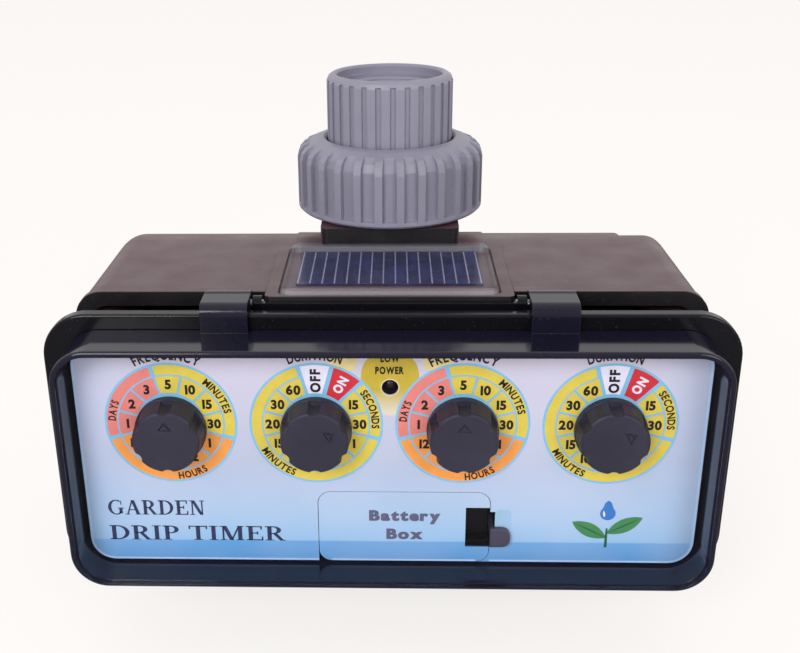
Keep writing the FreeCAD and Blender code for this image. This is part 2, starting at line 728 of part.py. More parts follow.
def battery_tray():
    """The drawer that holds the cells, with the door plate at its front and a finger hole."""
    envelope = rounded_box(DOOR_LEFT, DOOR_RIGHT, LABEL_THICK, TRAY_BACK, DOOR_LOW, DOOR_HIGH,
                           DOOR_CORNER, Y_AXIS)
    plate = box(DOOR_LEFT, DOOR_RIGHT, LABEL_THICK, DOOR_PLATE_BACK, DOOR_LOW, DOOR_HIGH)
    tray = box(DOOR_LEFT, DOOR_RIGHT, DOOR_PLATE_BACK - 0.4, TRAY_BACK, TRAY_LOW, DOOR_HIGH)
    room = box(DOOR_LEFT + TRAY_WALL, DOOR_RIGHT - TRAY_WALL, TRAY_ROOM_FRONT,
               TRAY_BACK - 1.4, TRAY_LOW + TRAY_WALL, DOOR_HIGH + 1)
    finger = box(FINGER_LEFT, DOOR_RIGHT + 1, -1, FINGER_DEEP, FINGER_LOW, FINGER_HIGH)
    whole = plate.fuse(tray).removeSplitter().common(envelope)
    return cut_all(whole, [room, finger] + tongue_slots())


def tongue_slots():
    """An L-shaped slot in the tray's right wall: along the tray, then up for the locked tongue."""
    low = LATCH_Z - 1.4
    x0 = DOOR_RIGHT - TRAY_WALL - 0.2
    along = box(x0, DOOR_RIGHT + 1, TONGUE_FRONT - 0.3, TRAY_BACK + 1, low, LATCH_Z + 1.5)
    up = box(x0, DOOR_RIGHT + 1, TONGUE_FRONT - 0.3, TONGUE_BACK + 0.3, low,
             LATCH_Z + 1.5 + LATCH_TRAVEL)
    return [along, up]


def battery_label():
    plate = box(DOOR_LEFT, DOOR_RIGHT, 0, LABEL_THICK, DOOR_LOW, DOOR_HIGH)
    plate = plate.makeFillet(DOOR_CORNER, edges_along(plate, Y_AXIS))
    finger = box(FINGER_LEFT, DOOR_RIGHT + 1, -1, 1, FINGER_LOW, FINGER_HIGH)
    return plate.cut(finger)


def cell_places():
    middle = (DOOR_LEFT + DOOR_RIGHT) / 2
    z = TRAY_LOW + TRAY_WALL + CELL_R + 0.1
    return [(middle + i * CELL_PITCH, z) for i in (-1, 0, 1)]


def battery_cells():
    cells = []
    front = TRAY_ROOM_FRONT + 0.5
    for x, z in cell_places():
        can = cylinder(CELL_R, V(x, front, z), Y_AXIS, CELL_LONG - 0.9)
        can = can.makeFillet(0.4, [e for e in can.Edges if isinstance(e.Curve, Part.Circle)])
        nub = cylinder(1.9, V(x, front + CELL_LONG - 1.0, z), Y_AXIS, 1.0)
        cells.append(can.fuse(nub))
    return Part.makeCompound(cells)


def battery_contacts():
    plates = []
    for x, z in cell_places():
        for y in (TRAY_ROOM_FRONT, TRAY_BACK - 1.4 - 0.4):
            plates.append(box(x - 4.2, x + 4.2, y, y + 0.4, z - 4.2, z + 4.2))
    return Part.makeCompound(plates)


def battery_bay():
    """The fixed sleeve the battery tray slides in, closed at its back."""
    gap = DOOR_GAP
    wall = 1.4
    outer = box(DOOR_LEFT - gap - wall, DOOR_RIGHT + gap + wall, FLANGE_BACK,
                TRAY_BACK + 0.6 + wall, TRAY_LOW - 0.2 - wall, DOOR_HIGH + gap + wall)
    room = box(DOOR_LEFT - gap, DOOR_RIGHT + gap, 0, TRAY_BACK + 0.6,
               TRAY_LOW - 0.2, DOOR_HIGH + gap)
    return outer.cut(room).cut(latch_slot(FLANGE_BACK - 1, TONGUE_BACK + 0.2))


def battery_latch():
    """The grey slide beside the finger hole, with a tongue that reaches into the tray's wall."""
    tab = box(LATCH_LEFT, LATCH_RIGHT, LATCH_FRONT, -0.1,
              LATCH_Z - LATCH_HALF_HIGH, LATCH_Z + LATCH_HALF_HIGH)
    right_corners = [e for e in edges_along(tab, Y_AXIS)
                     if all(v.X > LATCH_RIGHT - 1e-6 for v in e.Vertexes)]
    tab = tab.makeFillet(LATCH_CORNER, right_corners)
    rim = [e for e in tab.Edges if all(v.Y < LATCH_FRONT + 1e-6 for v in e.Vertexes)]
    tab = tab.makeFillet(0.3, rim)
    stem = box(STEM_LEFT, STEM_RIGHT, -0.4, TONGUE_BACK,
               LATCH_Z - STEM_HALF_HIGH, LATCH_Z + STEM_HALF_HIGH)
    tongue = box(DOOR_RIGHT - TRAY_WALL + 0.3, STEM_RIGHT, TONGUE_FRONT, TONGUE_BACK,
                 LATCH_Z - STEM_HALF_HIGH, LATCH_Z + STEM_HALF_HIGH)
    return fuse([tab, stem, tongue])


# ---------------------------------------------------------------- tap connection

def swivel_nut():
    """The ribbed ring that hangs under the spigot's head and turns freely on it."""
    body = revolve([
        (15.3, NUT_LOW), (NUT_RIB_R - 0.6, NUT_LOW), (NUT_RIB_R, NUT_LOW + 0.6),
        (NUT_RIB_R, NUT_LOW + 1.4), (NUT_ROOT_R, NUT_LOW + 1.9), (NUT_ROOT_R, 46.6),
        (22.9, 48.6), (21.4, 50.2), (19.4, 51.1), (18.0, NUT_HIGH), (17.6, NUT_HIGH),
        (NUT_BORE_R, NUT_HIGH - 0.7), (NUT_BORE_R, 35.5), (15.3, 35.5),
    ])
    rib_outline = [
        (20.5, NUT_LOW + 0.8), (NUT_RIB_R, NUT_LOW + 0.8), (NUT_RIB_R, 46.2),
        (24.3, 48.2), (23.2, 49.5), (21.2, 50.3), (20.5, 50.3),
    ]
    ribs = []
    for i in range(NUT_RIBS):
        corners = [V(r, INLET_Y - NUT_RIB_WIDE / 2, z) for r, z in rib_outline]
        face = Part.Face(Part.makePolygon(corners + corners[:1]))
        rib = face.extrude(V(0, NUT_RIB_WIDE, 0))
        rib.rotate(V(0, INLET_Y, 0), Z_AXIS, 360.0 * (i + 0.5) / NUT_RIBS)
        ribs.append(rib)
    return body.multiFuse(ribs).removeSplitter()


def tap_adaptor():
    """The grey collar, screwed into the swivel nut and threaded for the reducer inside."""
    body = revolve([
        (8.2, 40.7), (16.4, 40.7), (16.4, 50.8), (COLLAR_R, 50.9), (COLLAR_R, 66.2),
        (COLLAR_R - 0.5, 67.4), (COLLAR_R - 1.4, RIM_HIGH), (COLLAR_MOUTH_R + 0.5, RIM_HIGH),
        (COLLAR_MOUTH_R, RIM_HIGH - 0.5), (COLLAR_MOUTH_R, SEAT_Z + COLLAR_THREAD_LONG),
        (COLLAR_THREAD_R, SEAT_Z + COLLAR_THREAD_LONG), (COLLAR_THREAD_R, SEAT_Z),
        (13.6, SEAT_Z), (13.6, 51.3), (8.2, 51.3),
    ])
    grooves = []
    for i in range(COLLAR_GROOVES):
        groove = box(COLLAR_R - GROOVE_DEEP, COLLAR_R + 1, INLET_Y - GROOVE_WIDE / 2,
                     INLET_Y + GROOVE_WIDE / 2, 50.0, 66.6)
        groove.rotate(V(0, INLET_Y, 0), Z_AXIS, 360.0 * i / COLLAR_GROOVES - 90 + COLLAR_TURN)
        grooves.append(groove)
    return body.cut(Part.makeCompound(grooves))


def tap_reducer():
    """The bush inside the collar that takes a tap with the smaller thread."""
    return revolve([
        (TAP_THREAD_R, SEAT_Z), (REDUCER_R, SEAT_Z), (REDUCER_R, REDUCER_HIGH - 0.4),
        (REDUCER_R - 0.4, REDUCER_HIGH), (TAP_THREAD_R + 0.4, REDUCER_HIGH),
        (TAP_THREAD_R, REDUCER_HIGH - 0.4),
    ])


def tap_washer():
    return ring(13.5, 8.8, 0, INLET_Y, WASHER_LOW, SEAT_Z)


def inlet_filter():
    """A basket strainer: a flat rim held under the washer and a slotted cup below it."""
    cup = revolve([(0, 43.0), (7.4, 43.0), (7.4, 51.3), (13.3, 51.3), (13.3, WASHER_LOW),
                   (6.8, WASHER_LOW), (6.8, 43.6), (0, 43.6)])
    slots = []
    for i in range(FILTER_SLOTS):
        slot = box(6.0, 9.0, INLET_Y - 0.4, INLET_Y + 0.4, 44.6, 50.4)
        slot.rotate(V(0, INLET_Y, 0), Z_AXIS, 360.0 * i / FILTER_SLOTS)
        slots.append(slot)
    return cup.cut(Part.makeCompound(slots))


def swivel_washer():
    return ring(16.3, 9.0, 0, INLET_Y, 38.7, 40.7)


def inlet_spigot():
    """The flanged tube through the case top: its head holds the nut, its foot fits the manifold."""
    return revolve([
        (SPIGOT_BORE_R, 12.0), (13.6, 12.0), (13.6, 28.0), (15.0, 28.0), (15.0, 35.7),
        (16.4, 35.7), (16.4, 38.7), (SPIGOT_BORE_R, 38.7),
    ])


# ---------------------------------------------------------------- water path

def inlet_manifold():
    """A cup for the spigot, a down tube, and a cross tube to both valves."""
    cup = revolve([(0, -29.0), (11.0, -29.0), (11.0, 8.0), (15.3, 10.5), (15.3, 28.0),
                   (0, 28.0)])
    cross = cylinder(8.0, V(-VALVE_X, INLET_Y, PIPE_Z), X_AXIS, 2 * VALVE_X)
    whole = cup.fuse(cross)
    valves = [cylinder(VALVE_R, V(sx * VALVE_X, INLET_Y, -60), Z_AXIS, 120) for sx in (-1, 1)]
    bores = [
        cylinder(13.6, V(0, INLET_Y, 12.0), Z_AXIS, 20),
        cylinder(SPIGOT_BORE_R, V(0, INLET_Y, -26.5), Z_AXIS, 50),
        cylinder(5.5, V(-VALVE_X, INLET_Y, PIPE_Z), X_AXIS, 2 * VALVE_X),
    ]
    return cut_all(whole, valves + bores)


def valve_bodies():
    """Left and right valve bodies with their threaded outlets."""
    bodies = []
    for sx in (-1, 1):
        x = sx * VALVE_X
        body = revolve([
            (OUTLET_BORE_R, OUTLET_END), (12.4, OUTLET_END), (OUTLET_THREAD_R, -57.2),
            (OUTLET_THREAD_R, OUTLET_SHOULDER), (13.5, OUTLET_SHOULDER), (13.5, -35.6),
            (VALVE_R, -33.0), (VALVE_R, -14.0), (11.5, -14.0),
            (11.5, -27.0), (7.6, -27.0), (7.6, -14.6), (6.0, -14.6), (6.0, -30.0),
            (OUTLET_BORE_R, -33.0),
        ], x)
        port = cylinder(5.5, V(x - sx * 20.0, INLET_Y, PIPE_Z), X_AXIS * sx, 11.0)
        body = body.cut(port)
        bodies.append(cut_all(body, bonnet_screw_holes(x, BONNET_SCREW_R, -22.0)))
    return Part.makeCompound(bodies)


def bonnet_screw_places(x):
    places = []
    for i in range(4):
        angle = math.radians(45 + 90 * i)
        places.append((x + BONNET_SCREW_PLACE_R * math.cos(angle),
                       INLET_Y + BONNET_SCREW_PLACE_R * math.sin(angle)))
    return places


def bonnet_screw_holes(x, radius, low):
    return [cylinder(radius, V(px, py, low), Z_AXIS, 40) for px, py in bonnet_screw_places(x)]


def valve_diaphragms():
    discs = []
    for sx in (-1, 1):
        x = sx * VALVE_X
        disc = cylinder(VALVE_R - 0.1, V(x, INLET_Y, -14.0), Z_AXIS, 1.4)
        bead = cylinder(5.4, V(x, INLET_Y, -14.6), Z_AXIS, 1.0)
        disc = disc.fuse(bead)
        discs.append(cut_all(disc, bonnet_screw_holes(x, BONNET_HOLE_R, -20.0)))
    return Part.makeCompound(discs)


def valve_bonnets():
    """Covers over the diaphragms, each with a closed guide tube for its plunger."""
    covers = []
    for sx in (-1, 1):
        x = sx * VALVE_X
        cover = revolve([
            (PLUNGER_R + 0.05, -12.6), (VALVE_R - 0.1, -12.6), (VALVE_R - 0.1, -9.4),
            (8.0, -9.4), (4.5, -8.0), (4.5, 10.0), (0, 10.0), (0, 9.0),
            (PLUNGER_R + 0.05, 9.0),
        ], x)
        covers.append(cut_all(cover, bonnet_screw_holes(x, BONNET_HOLE_R, -20.0)))
    return Part.makeCompound(covers)


def bonnet_screws():
    screws = []
    for sx in (-1, 1):
        for px, py in bonnet_screw_places(sx * VALVE_X):
            shank = cylinder(BONNET_SCREW_R, V(px, py, -21.0), Z_AXIS, 11.6)
            head = cylinder(1.9, V(px, py, -9.4), Z_AXIS, 1.5)
            screws.append(shank.fuse(head))
    return Part.makeCompound(screws)


def solenoid_coils():
    """A coil round each guide tube."""
    return Part.makeCompound([ring(COIL_R, 4.6, sx * VALVE_X, INLET_Y, -7.0, 9.0)
                              for sx in (-1, 1)])


def plunger(sx):
    x = sx * VALVE_X
    rod = cylinder(PLUNGER_R, V(x, INLET_Y, -12.5), Z_AXIS, 13.5)
    spring_seat = cylinder(2.4, V(x, INLET_Y, -1.0), Z_AXIS, 5.0)
    return rod.cut(spring_seat)


def plunger_spring(sx):
    """A coil spring from the plunger's socket to the guide tube's closed end."""
    low = -0.9
    high = 8.9
    helix = Part.makeHelix(1.6, high - low - 0.5, SPRING_R)
    profile = Part.Wire([Part.makeCircle(SPRING_WIRE_R, V(SPRING_R, 0, 0), Y_AXIS)])
    coil = Part.Wire(helix.Edges).makePipeShell([profile], True, True)
    coil.translate(V(sx * VALVE_X, INLET_Y, low + 0.25))
    return coil


# ---------------------------------------------------------------- wiring

def lead(points, radius):
    """A round wire along a smooth curve through the given points."""
    curve = Part.BSplineCurve()
    curve.interpolate(points)
    path = Part.Wire([curve.toShape()])
    start = curve.value(curve.FirstParameter)
    heading = curve.tangent(curve.FirstParameter)[0]
    profile = Part.Wire([Part.makeCircle(radius, start, heading)])
    return path.makePipeShell([profile], True, True)


def solar_leads():
    wires = []
    for shift in (0.0, 2.2):
        x = -12.5 - shift
        wires.append(lead([V(x, 24, SOLAR_SEAT - 0.1), V(x, 24, 18), V(x, 26, 2),
                           V(x, 25, -6), V(x, PLUG_BACK + 0.4, -7)], WIRE_R))
    return Part.makeCompound(wires)


def battery_leads():
    back = TRAY_BACK + 2.0
    wires = []
    for shift in (0.0, 2.2):
        x = 12.5 + shift
        wires.append(lead([V(x, back + 0.4, -25), V(x, back + 3.0, -22), V(x, back + 1.0, -13),
                           V(x, 44, -11), V(x, 28, -8), V(x, PLUG_BACK + 0.4, -7)],
                          WIRE_R))
    return Part.makeCompound(wires)


def solenoid_leads():
    wires = []
    for sx, end_x in ((-1, 42.5), (1, 45.5)):
        start = V(sx * VALVE_X, INLET_Y - COIL_R - 0.15, 4)
        middle = [V(sx * VALVE_X, 54, 4), V(sx * 42.0, 42, 0)]
        if sx < 0:
            middle += [V(0, 36, 2), V(34, 34, -4)]
        finish = [V(end_x, 29, -7), V(end_x, PLUG_BACK + 0.4, -7)]
        wires.append(lead([start] + middle + finish, WIRE_R))
    return Part.makeCompound(wires)


# ---------------------------------------------------------------- write the parts

def write_parts():
    save("rear_housing", rear_housing())
    save("front_housing", front_housing())
    save("case_gasket", case_gasket())
    save("case_screws", case_screws())
    save("face_label", face_label())
    save("cover_frame", cover_frame())
    save("cover_window", cover_window())
    save("cover_hinge_pins", cover_hinge_pins())
    save("solar_bezel", solar_bezel())
    save("solar_cell", solar_cell())
    save("solar_lens", solar_lens())
    for name, x, turn in zip(DIAL_NAMES, DIAL_X, POINTER_TURN):
        save(name + "_knob", knob(x, turn))
        save(name + "_shaft", shaft(x, turn))
    save("rotary_switches", rotary_switches())
    save("control_board", control_board())
    save("board_screws", board_screws())
    save("timer_chip", timer_chip())
    save("board_capacitors", board_capacitors())
    save("board_plugs", board_plugs())
    save("low_power_led", low_power_led())
    save("battery_tray", battery_tray())
    save("battery_label", battery_label())
    save("battery_cells", battery_cells())
    save("battery_contacts", battery_contacts())
    save("battery_bay", battery_bay())
    save("battery_latch", battery_latch())
    save("swivel_nut", swivel_nut())
    save("tap_adaptor", tap_adaptor())
    save("tap_reducer", tap_reducer())
    save("tap_washer", tap_washer())
    save("inlet_filter", inlet_filter())
    save("swivel_washer", swivel_washer())
    save("inlet_spigot", inlet_spigot())
    save("inlet_manifold", inlet_manifold())
    save("valve_bodies", valve_bodies())
    save("valve_diaphragms", valve_diaphragms())
    save("valve_bonnets", valve_bonnets())
    save("bonnet_screws", bonnet_screws())
    save("solenoid_coils", solenoid_coils())
    for side, sx in (("left", -1), ("right", 1)):
        save(side + "_plunger", plunger(sx))
        save(side + "_plunger_spring", plunger_spring(sx))
    save("solar_leads", solar_leads())
    save("battery_leads", battery_leads())
    save("solenoid_leads", solenoid_leads())


os.makedirs("parts", exist_ok=True)
write_parts()
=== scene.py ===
import math

import bmesh
import bpy
from mathutils import Matrix, Vector

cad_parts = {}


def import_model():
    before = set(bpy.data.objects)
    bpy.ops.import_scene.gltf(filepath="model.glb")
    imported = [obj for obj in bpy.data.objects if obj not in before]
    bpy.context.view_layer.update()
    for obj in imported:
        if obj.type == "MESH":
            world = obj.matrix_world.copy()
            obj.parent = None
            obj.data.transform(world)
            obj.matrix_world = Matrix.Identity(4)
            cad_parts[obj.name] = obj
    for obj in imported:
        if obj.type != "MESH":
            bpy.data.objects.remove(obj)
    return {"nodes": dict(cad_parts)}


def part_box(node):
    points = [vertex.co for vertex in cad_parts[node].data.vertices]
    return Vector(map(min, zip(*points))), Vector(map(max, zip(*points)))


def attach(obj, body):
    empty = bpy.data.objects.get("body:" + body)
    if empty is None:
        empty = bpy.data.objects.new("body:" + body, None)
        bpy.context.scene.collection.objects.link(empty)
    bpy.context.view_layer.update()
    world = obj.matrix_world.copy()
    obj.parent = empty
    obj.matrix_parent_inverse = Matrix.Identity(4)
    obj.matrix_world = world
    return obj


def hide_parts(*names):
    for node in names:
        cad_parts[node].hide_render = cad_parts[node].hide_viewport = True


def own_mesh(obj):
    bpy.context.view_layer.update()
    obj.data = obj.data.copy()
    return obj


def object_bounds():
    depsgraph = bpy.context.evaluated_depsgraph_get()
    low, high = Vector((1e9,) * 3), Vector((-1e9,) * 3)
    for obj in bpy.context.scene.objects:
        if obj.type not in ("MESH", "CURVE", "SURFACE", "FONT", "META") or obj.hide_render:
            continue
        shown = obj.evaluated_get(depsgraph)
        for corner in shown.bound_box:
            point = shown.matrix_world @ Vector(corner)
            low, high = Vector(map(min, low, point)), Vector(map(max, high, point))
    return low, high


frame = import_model()
cad_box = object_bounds()

# A solar drip irrigation timer: printed face behind a clear flip-up cover, black case, grey tap connection.
# Lengths are in millimetres, and are multiplied by MM where Blender needs metres. Places on the printed face
# are (x, z), measured from the middle of the row of dials; "proud" is a print's distance before the face.

MM = 0.001
NODES = frame["nodes"]


def middle(node):
    low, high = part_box(node)
    return (low + high) / 2


DIAL_NAMES = ("left_frequency", "left_duration", "right_frequency", "right_duration")
LABEL_LOW, LABEL_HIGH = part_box("face_label")
FACE_Y = LABEL_LOW.y
DIAL_Z = middle("left_frequency_knob").z
PANEL_LOW = (LABEL_LOW.z - DIAL_Z) / MM
PANEL_HIGH = (LABEL_HIGH.z - DIAL_Z) / MM
PANEL_HALF = LABEL_HIGH.x / MM
LED_LOW, LED_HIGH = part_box("low_power_led")
LED_X = (LED_LOW.x + LED_HIGH.x) / 2 / MM
LED_UP = 10.4                       # the low power lamp's axis above the dials' axes


# ---------------------------------------------------------------- material nodes

def linear(red, green, blue):
    """A colour given as 0 to 255 display values, as a shader takes it."""
    def channel(value):
        share = value / 255
        return share / 12.92 if share <= 0.04045 else ((share + 0.055) / 1.055) ** 2.4
    return (channel(red), channel(green), channel(blue), 1.0)


def scaled(colour, factor):
    return tuple(min(1.0, c * factor) for c in colour[:3]) + (1.0,)


class Shader:
    """A new node material and the few node patterns that the finishes below share."""

    def __init__(self, name):
        self.material = bpy.data.materials.new(name)
        self.material.use_nodes = True
        self.tree = self.material.node_tree
        self.tree.nodes.clear()
        self.out = self.tree.nodes.new("ShaderNodeOutputMaterial")
        self.place = self.add("ShaderNodeTexCoord").outputs["Object"]

    def add(self, kind, **settings):
        node = self.tree.nodes.new(kind)
        for key, value in settings.items():
            setattr(node, key, value)
        return node

    def put(self, socket, value):
        """Sets a socket to a plain value, or links it to another node's output."""
        if isinstance(value, bpy.types.NodeSocket):
            self.tree.links.new(value, socket)
        else:
            socket.default_value = value

    def noise(self, size, detail=3.0, stretch=(1, 1, 1)):
        """Noise whose blobs are about size mm across."""
        mapping = self.add("ShaderNodeMapping")
        mapping.inputs["Scale"].default_value = stretch
        self.put(mapping.inputs["Vector"], self.place)
        node = self.add("ShaderNodeTexNoise")
        node.inputs["Scale"].default_value = 1 / (size * MM)
        node.inputs["Detail"].default_value = detail
        self.put(node.inputs["Vector"], mapping.outputs["Vector"])
        return node.outputs["Fac"]

    def remap(self, value, low, high, to_low, to_high):
        node = self.add("ShaderNodeMapRange")
        for key, number in (("From Min", low), ("From Max", high), ("To Min", to_low),
                            ("To Max", to_high)):
            node.inputs[key].default_value = number
        self.put(node.inputs["Value"], value)
        return node.outputs["Result"]

    def maths(self, operation, first, second=0.0):
        node = self.add("ShaderNodeMath", operation=operation)
        self.put(node.inputs[0], first)
        self.put(node.inputs[1], second)
        return node.outputs[0]

    def mix(self, share, first, second):
        node = self.add("ShaderNodeMix", data_type="RGBA")
        self.put(node.inputs["Factor"], share)
        self.put(node.inputs[6], first)
        self.put(node.inputs[7], second)
        return node.outputs[2]

    def axis(self, vector, index):
        node = self.add("ShaderNodeSeparateXYZ")
        self.put(node.inputs[0], vector)
        return node.outputs[index]

    def rounded(self, radius):
        """Shading normals that round every sharp edge by a radius in mm."""
        node = self.add("ShaderNodeBevel", samples=4)
        node.inputs["Radius"].default_value = radius * MM
        return node.outputs["Normal"]

    def edges(self, normal):
        """0 on a flat face, rising to 1 at a sharp edge."""
        true_normal = self.add("ShaderNodeNewGeometry").outputs["Normal"]
        dot = self.add("ShaderNodeVectorMath", operation="DOT_PRODUCT")
        self.put(dot.inputs[0], normal)
        self.put(dot.inputs[1], true_normal)
        return self.remap(dot.outputs["Value"], 0.995, 0.8, 0.0, 1.0)

    def bump(self, height, depth, normal=None):
        node = self.add("ShaderNodeBump")
        node.inputs["Distance"].default_value = depth * MM
        self.put(node.inputs["Height"], height)
        if normal is not None:
            self.put(node.inputs["Normal"], normal)
        return node.outputs["Normal"]

    def principled(self, **sockets):
        node = self.add("ShaderNodeBsdfPrincipled")
        for key, value in sockets.items():
            self.put(node.inputs[key.replace("_", " ")], value)
        return node.outputs[0]

    def finish(self, surface):
        self.put(self.out.inputs["Surface"], surface)
        return self.material


def moulded(name, colour, rough, grain=0.5, depth=0.004, mottle=0.12, edge=0.25, edge_wear_and_highlight_lift=1.6,
            gloss=0.5, slant_sheen=None, dust=0.0):
    """Moulded plastic: mottled colour, fine grain, smudged gloss, paler edges that are partly rubbed wear and
    partly a painted highlight, a little dust.

    A slant colour, if given, is a painted sheen: it is painted into the base colour where the surface is seen
    at a slant.
    """
    s = Shader(name)
    normal = s.rounded(edge)
    sharp_edge_mask = s.edges(normal)
    tone = s.remap(s.noise(18), 0.3, 0.7, 0.0, 1.0)
    base = s.mix(tone, scaled(colour, 1 - mottle), scaled(colour, 1 + mottle))
    rubbed_and_highlit_edges = s.maths("MULTIPLY", sharp_edge_mask, s.remap(s.noise(1.6), 0.42, 0.62, 0.15, 1.0))
    # Sharp edges are lightened: partly rubbed wear, partly a painted highlight along the edges.
    base = s.mix(rubbed_and_highlit_edges, base, scaled(colour, edge_wear_and_highlight_lift))
    if slant_sheen:
        # Painted sheen: the slant colour is painted into the base colour where the surface is seen at a
        # slant, as the lit tops are.
        facing = s.add("ShaderNodeLayerWeight").outputs["Facing"]
        base = s.mix(s.remap(facing, 0.35, 0.7, 0.0, 1.0), base, slant_sheen)
    specks = s.remap(s.noise(0.7, 2.0), 0.66, 0.74, 0.0, dust)
    base = s.mix(specks, base, linear(170, 165, 165))
    smudge = s.remap(s.noise(9, 4.0), 0.3, 0.7, rough * 0.85, min(1.0, rough * 1.2))
    relief = s.bump(s.noise(grain, 2.0), depth, normal)
    return s.finish(s.principled(Base_Color=base, Roughness=smudge, Normal=relief,
                                 Specular_IOR_Level=gloss))


def metal(name, colour, rough):
    """Turned and plated steel or brass, with fine lines round it and duller patches."""
    s = Shader(name)
    normal = s.rounded(0.12)
    tone = s.remap(s.noise(2.5), 0.3, 0.7, 0.0, 1.0)
    base = s.mix(tone, scaled(colour, 0.82), scaled(colour, 1.08))
    lines = s.noise(0.35, 2.0, (1, 1, 0.15))
    smudge = s.remap(s.noise(1.2), 0.3, 0.7, rough * 0.7, rough * 1.4)
    return s.finish(s.principled(Base_Color=base, Metallic=1.0, Roughness=smudge,
                                 Normal=s.bump(lines, 0.006, normal)))


def ink(name, colour, fade=None):
    """Printed ink: slightly uneven colour over a faint screen of dots.

    A fade is (the colour it runs down to, the height where that is reached, the height where it starts).
    """
    s = Shader(name)
    tone = s.remap(s.noise(3.0), 0.3, 0.7, 0.0, 1.0)
    base = s.mix(tone, scaled(colour, 0.95), scaled(colour, 1.05))
    dots = s.remap(s.noise(0.22, 0.0), 0.55, 0.7, 0.0, 0.10)
    base = s.mix(dots, base, scaled(colour, 1.25))
    if fade:
        below, low, high = fade
        base = s.mix(s.remap(s.axis(s.place, 2), low, high, 0.0, 1.0), below, base)
    smudge = s.remap(s.noise(4.0), 0.3, 0.7, 0.36, 0.48)
    return s.finish(s.principled(Base_Color=base, Roughness=smudge, Specular_IOR_Level=0.3,
                                 Normal=s.bump(s.noise(0.3), 0.001)))


# Heights on the label, from its low edge to its high edge, and the printed colour there.
LABEL_TONES = (
    (0.000, (86, 148, 206)),
    (0.094, (92, 154, 210)),
    (0.100, (140, 182, 220)),
    (0.220, (157, 184, 215)),
    (0.480, (171, 180, 203)),
    (0.700, (187, 188, 209)),
    (1.000, (196, 189, 207)),
)


def label_print(name):
    """The face's sheet: lavender at the top, running down to blue, with a darker band along its foot."""
    s = Shader(name)
    height = s.remap(s.axis(s.place, 2), LABEL_LOW.z, LABEL_HIGH.z, 0.0, 1.0)
    ramp = s.add("ShaderNodeValToRGB")
    while len(ramp.color_ramp.elements) < len(LABEL_TONES):
        ramp.color_ramp.elements.new(0.5)
    for element, (stop, colour) in zip(ramp.color_ramp.elements, LABEL_TONES):
        element.position = stop
        element.color = linear(*colour)
    s.put(ramp.inputs[0], height)
    across = s.maths("ABSOLUTE", s.axis(s.place, 0))
    ends = s.remap(across, 56 * MM, PANEL_HALF * MM, 0.0, 0.35)
    base = s.mix(ends, ramp.outputs[0], linear(150, 184, 226))
    cloud = s.remap(s.noise(26, 2.0), 0.35, 0.7, 0.0, 0.16)
    base = s.mix(cloud, base, linear(214, 214, 236))
    smudge = s.remap(s.noise(12), 0.3, 0.7, 0.34, 0.5)
    return s.finish(s.principled(Base_Color=base, Roughness=smudge, Specular_IOR_Level=0.3,
                                 Normal=s.bump(s.noise(0.4), 0.0015)))


def clear(name, tint, haze, rough, index, front=0.0):
    """Clear plastic: mostly see-through, glossy at a slant, with hairline scratches.

    It is a little milky, and walls that face the front are whitened further, a painted highlight.
    """
    s = Shader(name)
    scratches = s.remap(s.noise(0.5, 2.0, (0.05, 1, 1)), 0.66, 0.72, 0.0, 0.006)
    haze_and_front_highlight = s.maths("ADD", scratches, s.remap(s.noise(14), 0.3, 0.7, haze * 0.6, haze * 1.4))
    geometry = s.add("ShaderNodeNewGeometry")
    towards = s.axis(geometry.outputs["Normal"], 1)
    # Painted highlight: walls facing the front are whitened, by up to the front amount.
    haze_and_front_highlight = s.maths("ADD", haze_and_front_highlight, s.remap(towards, -0.2, -0.7, 0.0, front))
    through = s.add("ShaderNodeBsdfTransparent")
    through.inputs["Color"].default_value = tint
    body = s.principled(Base_Color=linear(225, 225, 230), Roughness=0.5)
    solid = s.add("ShaderNodeMixShader")
    s.put(solid.inputs[0], haze_and_front_highlight)
    s.put(solid.inputs[1], through.outputs[0])
    s.put(solid.inputs[2], body)
    shine = s.add("ShaderNodeBsdfGlossy")
    s.put(shine.inputs["Roughness"], s.remap(s.noise(6), 0.3, 0.7, rough * 0.6, rough * 1.5))
    s.put(shine.inputs["Normal"], s.bump(s.noise(20), 0.02))
    slant = s.add("ShaderNodeFresnel")
    slant.inputs["IOR"].default_value = index
    outside = s.maths("SUBTRACT", 1.0, geometry.outputs["Backfacing"])
    whole = s.add("ShaderNodeMixShader")
    s.put(whole.inputs[0], s.maths("MULTIPLY", slant.outputs[0], outside))
    s.put(whole.inputs[1], solid.outputs[0])
    s.put(whole.inputs[2], shine.outputs[0])
    return s.finish(whole.outputs[0])


def silicon(name):
    """The solar cell: dark blue crystal flakes under a purple-blue coating."""
    s = Shader(name)
    flakes = s.add("ShaderNodeTexVoronoi")
    flakes.inputs["Scale"].default_value = 1 / (2.4 * MM)
    s.put(flakes.inputs["Vector"], s.place)
    tone = s.axis(flakes.outputs["Color"], 0)
    base = s.mix(tone, linear(17, 20, 50), linear(36, 42, 92))
    return s.finish(s.principled(Base_Color=base, Roughness=0.3, Specular_IOR_Level=0.15,
                                 Coat_Weight=0.12,
                                 Coat_Roughness=s.remap(s.noise(5), 0.3, 0.7, 0.05, 0.2),
                                 Normal=s.bump(tone, 0.004)))


# ---------------------------------------------------------------- finishes of the CAD nodes

def dress(material, slot, *names):
    for name in names:
        node = NODES[name]
        node.data.materials.clear()
        node.data.materials.append(material)


SLANT_SHEEN = linear(79, 53, 61)          # the brownish sheen painted on the case's matte plastic where it is seen at a slant
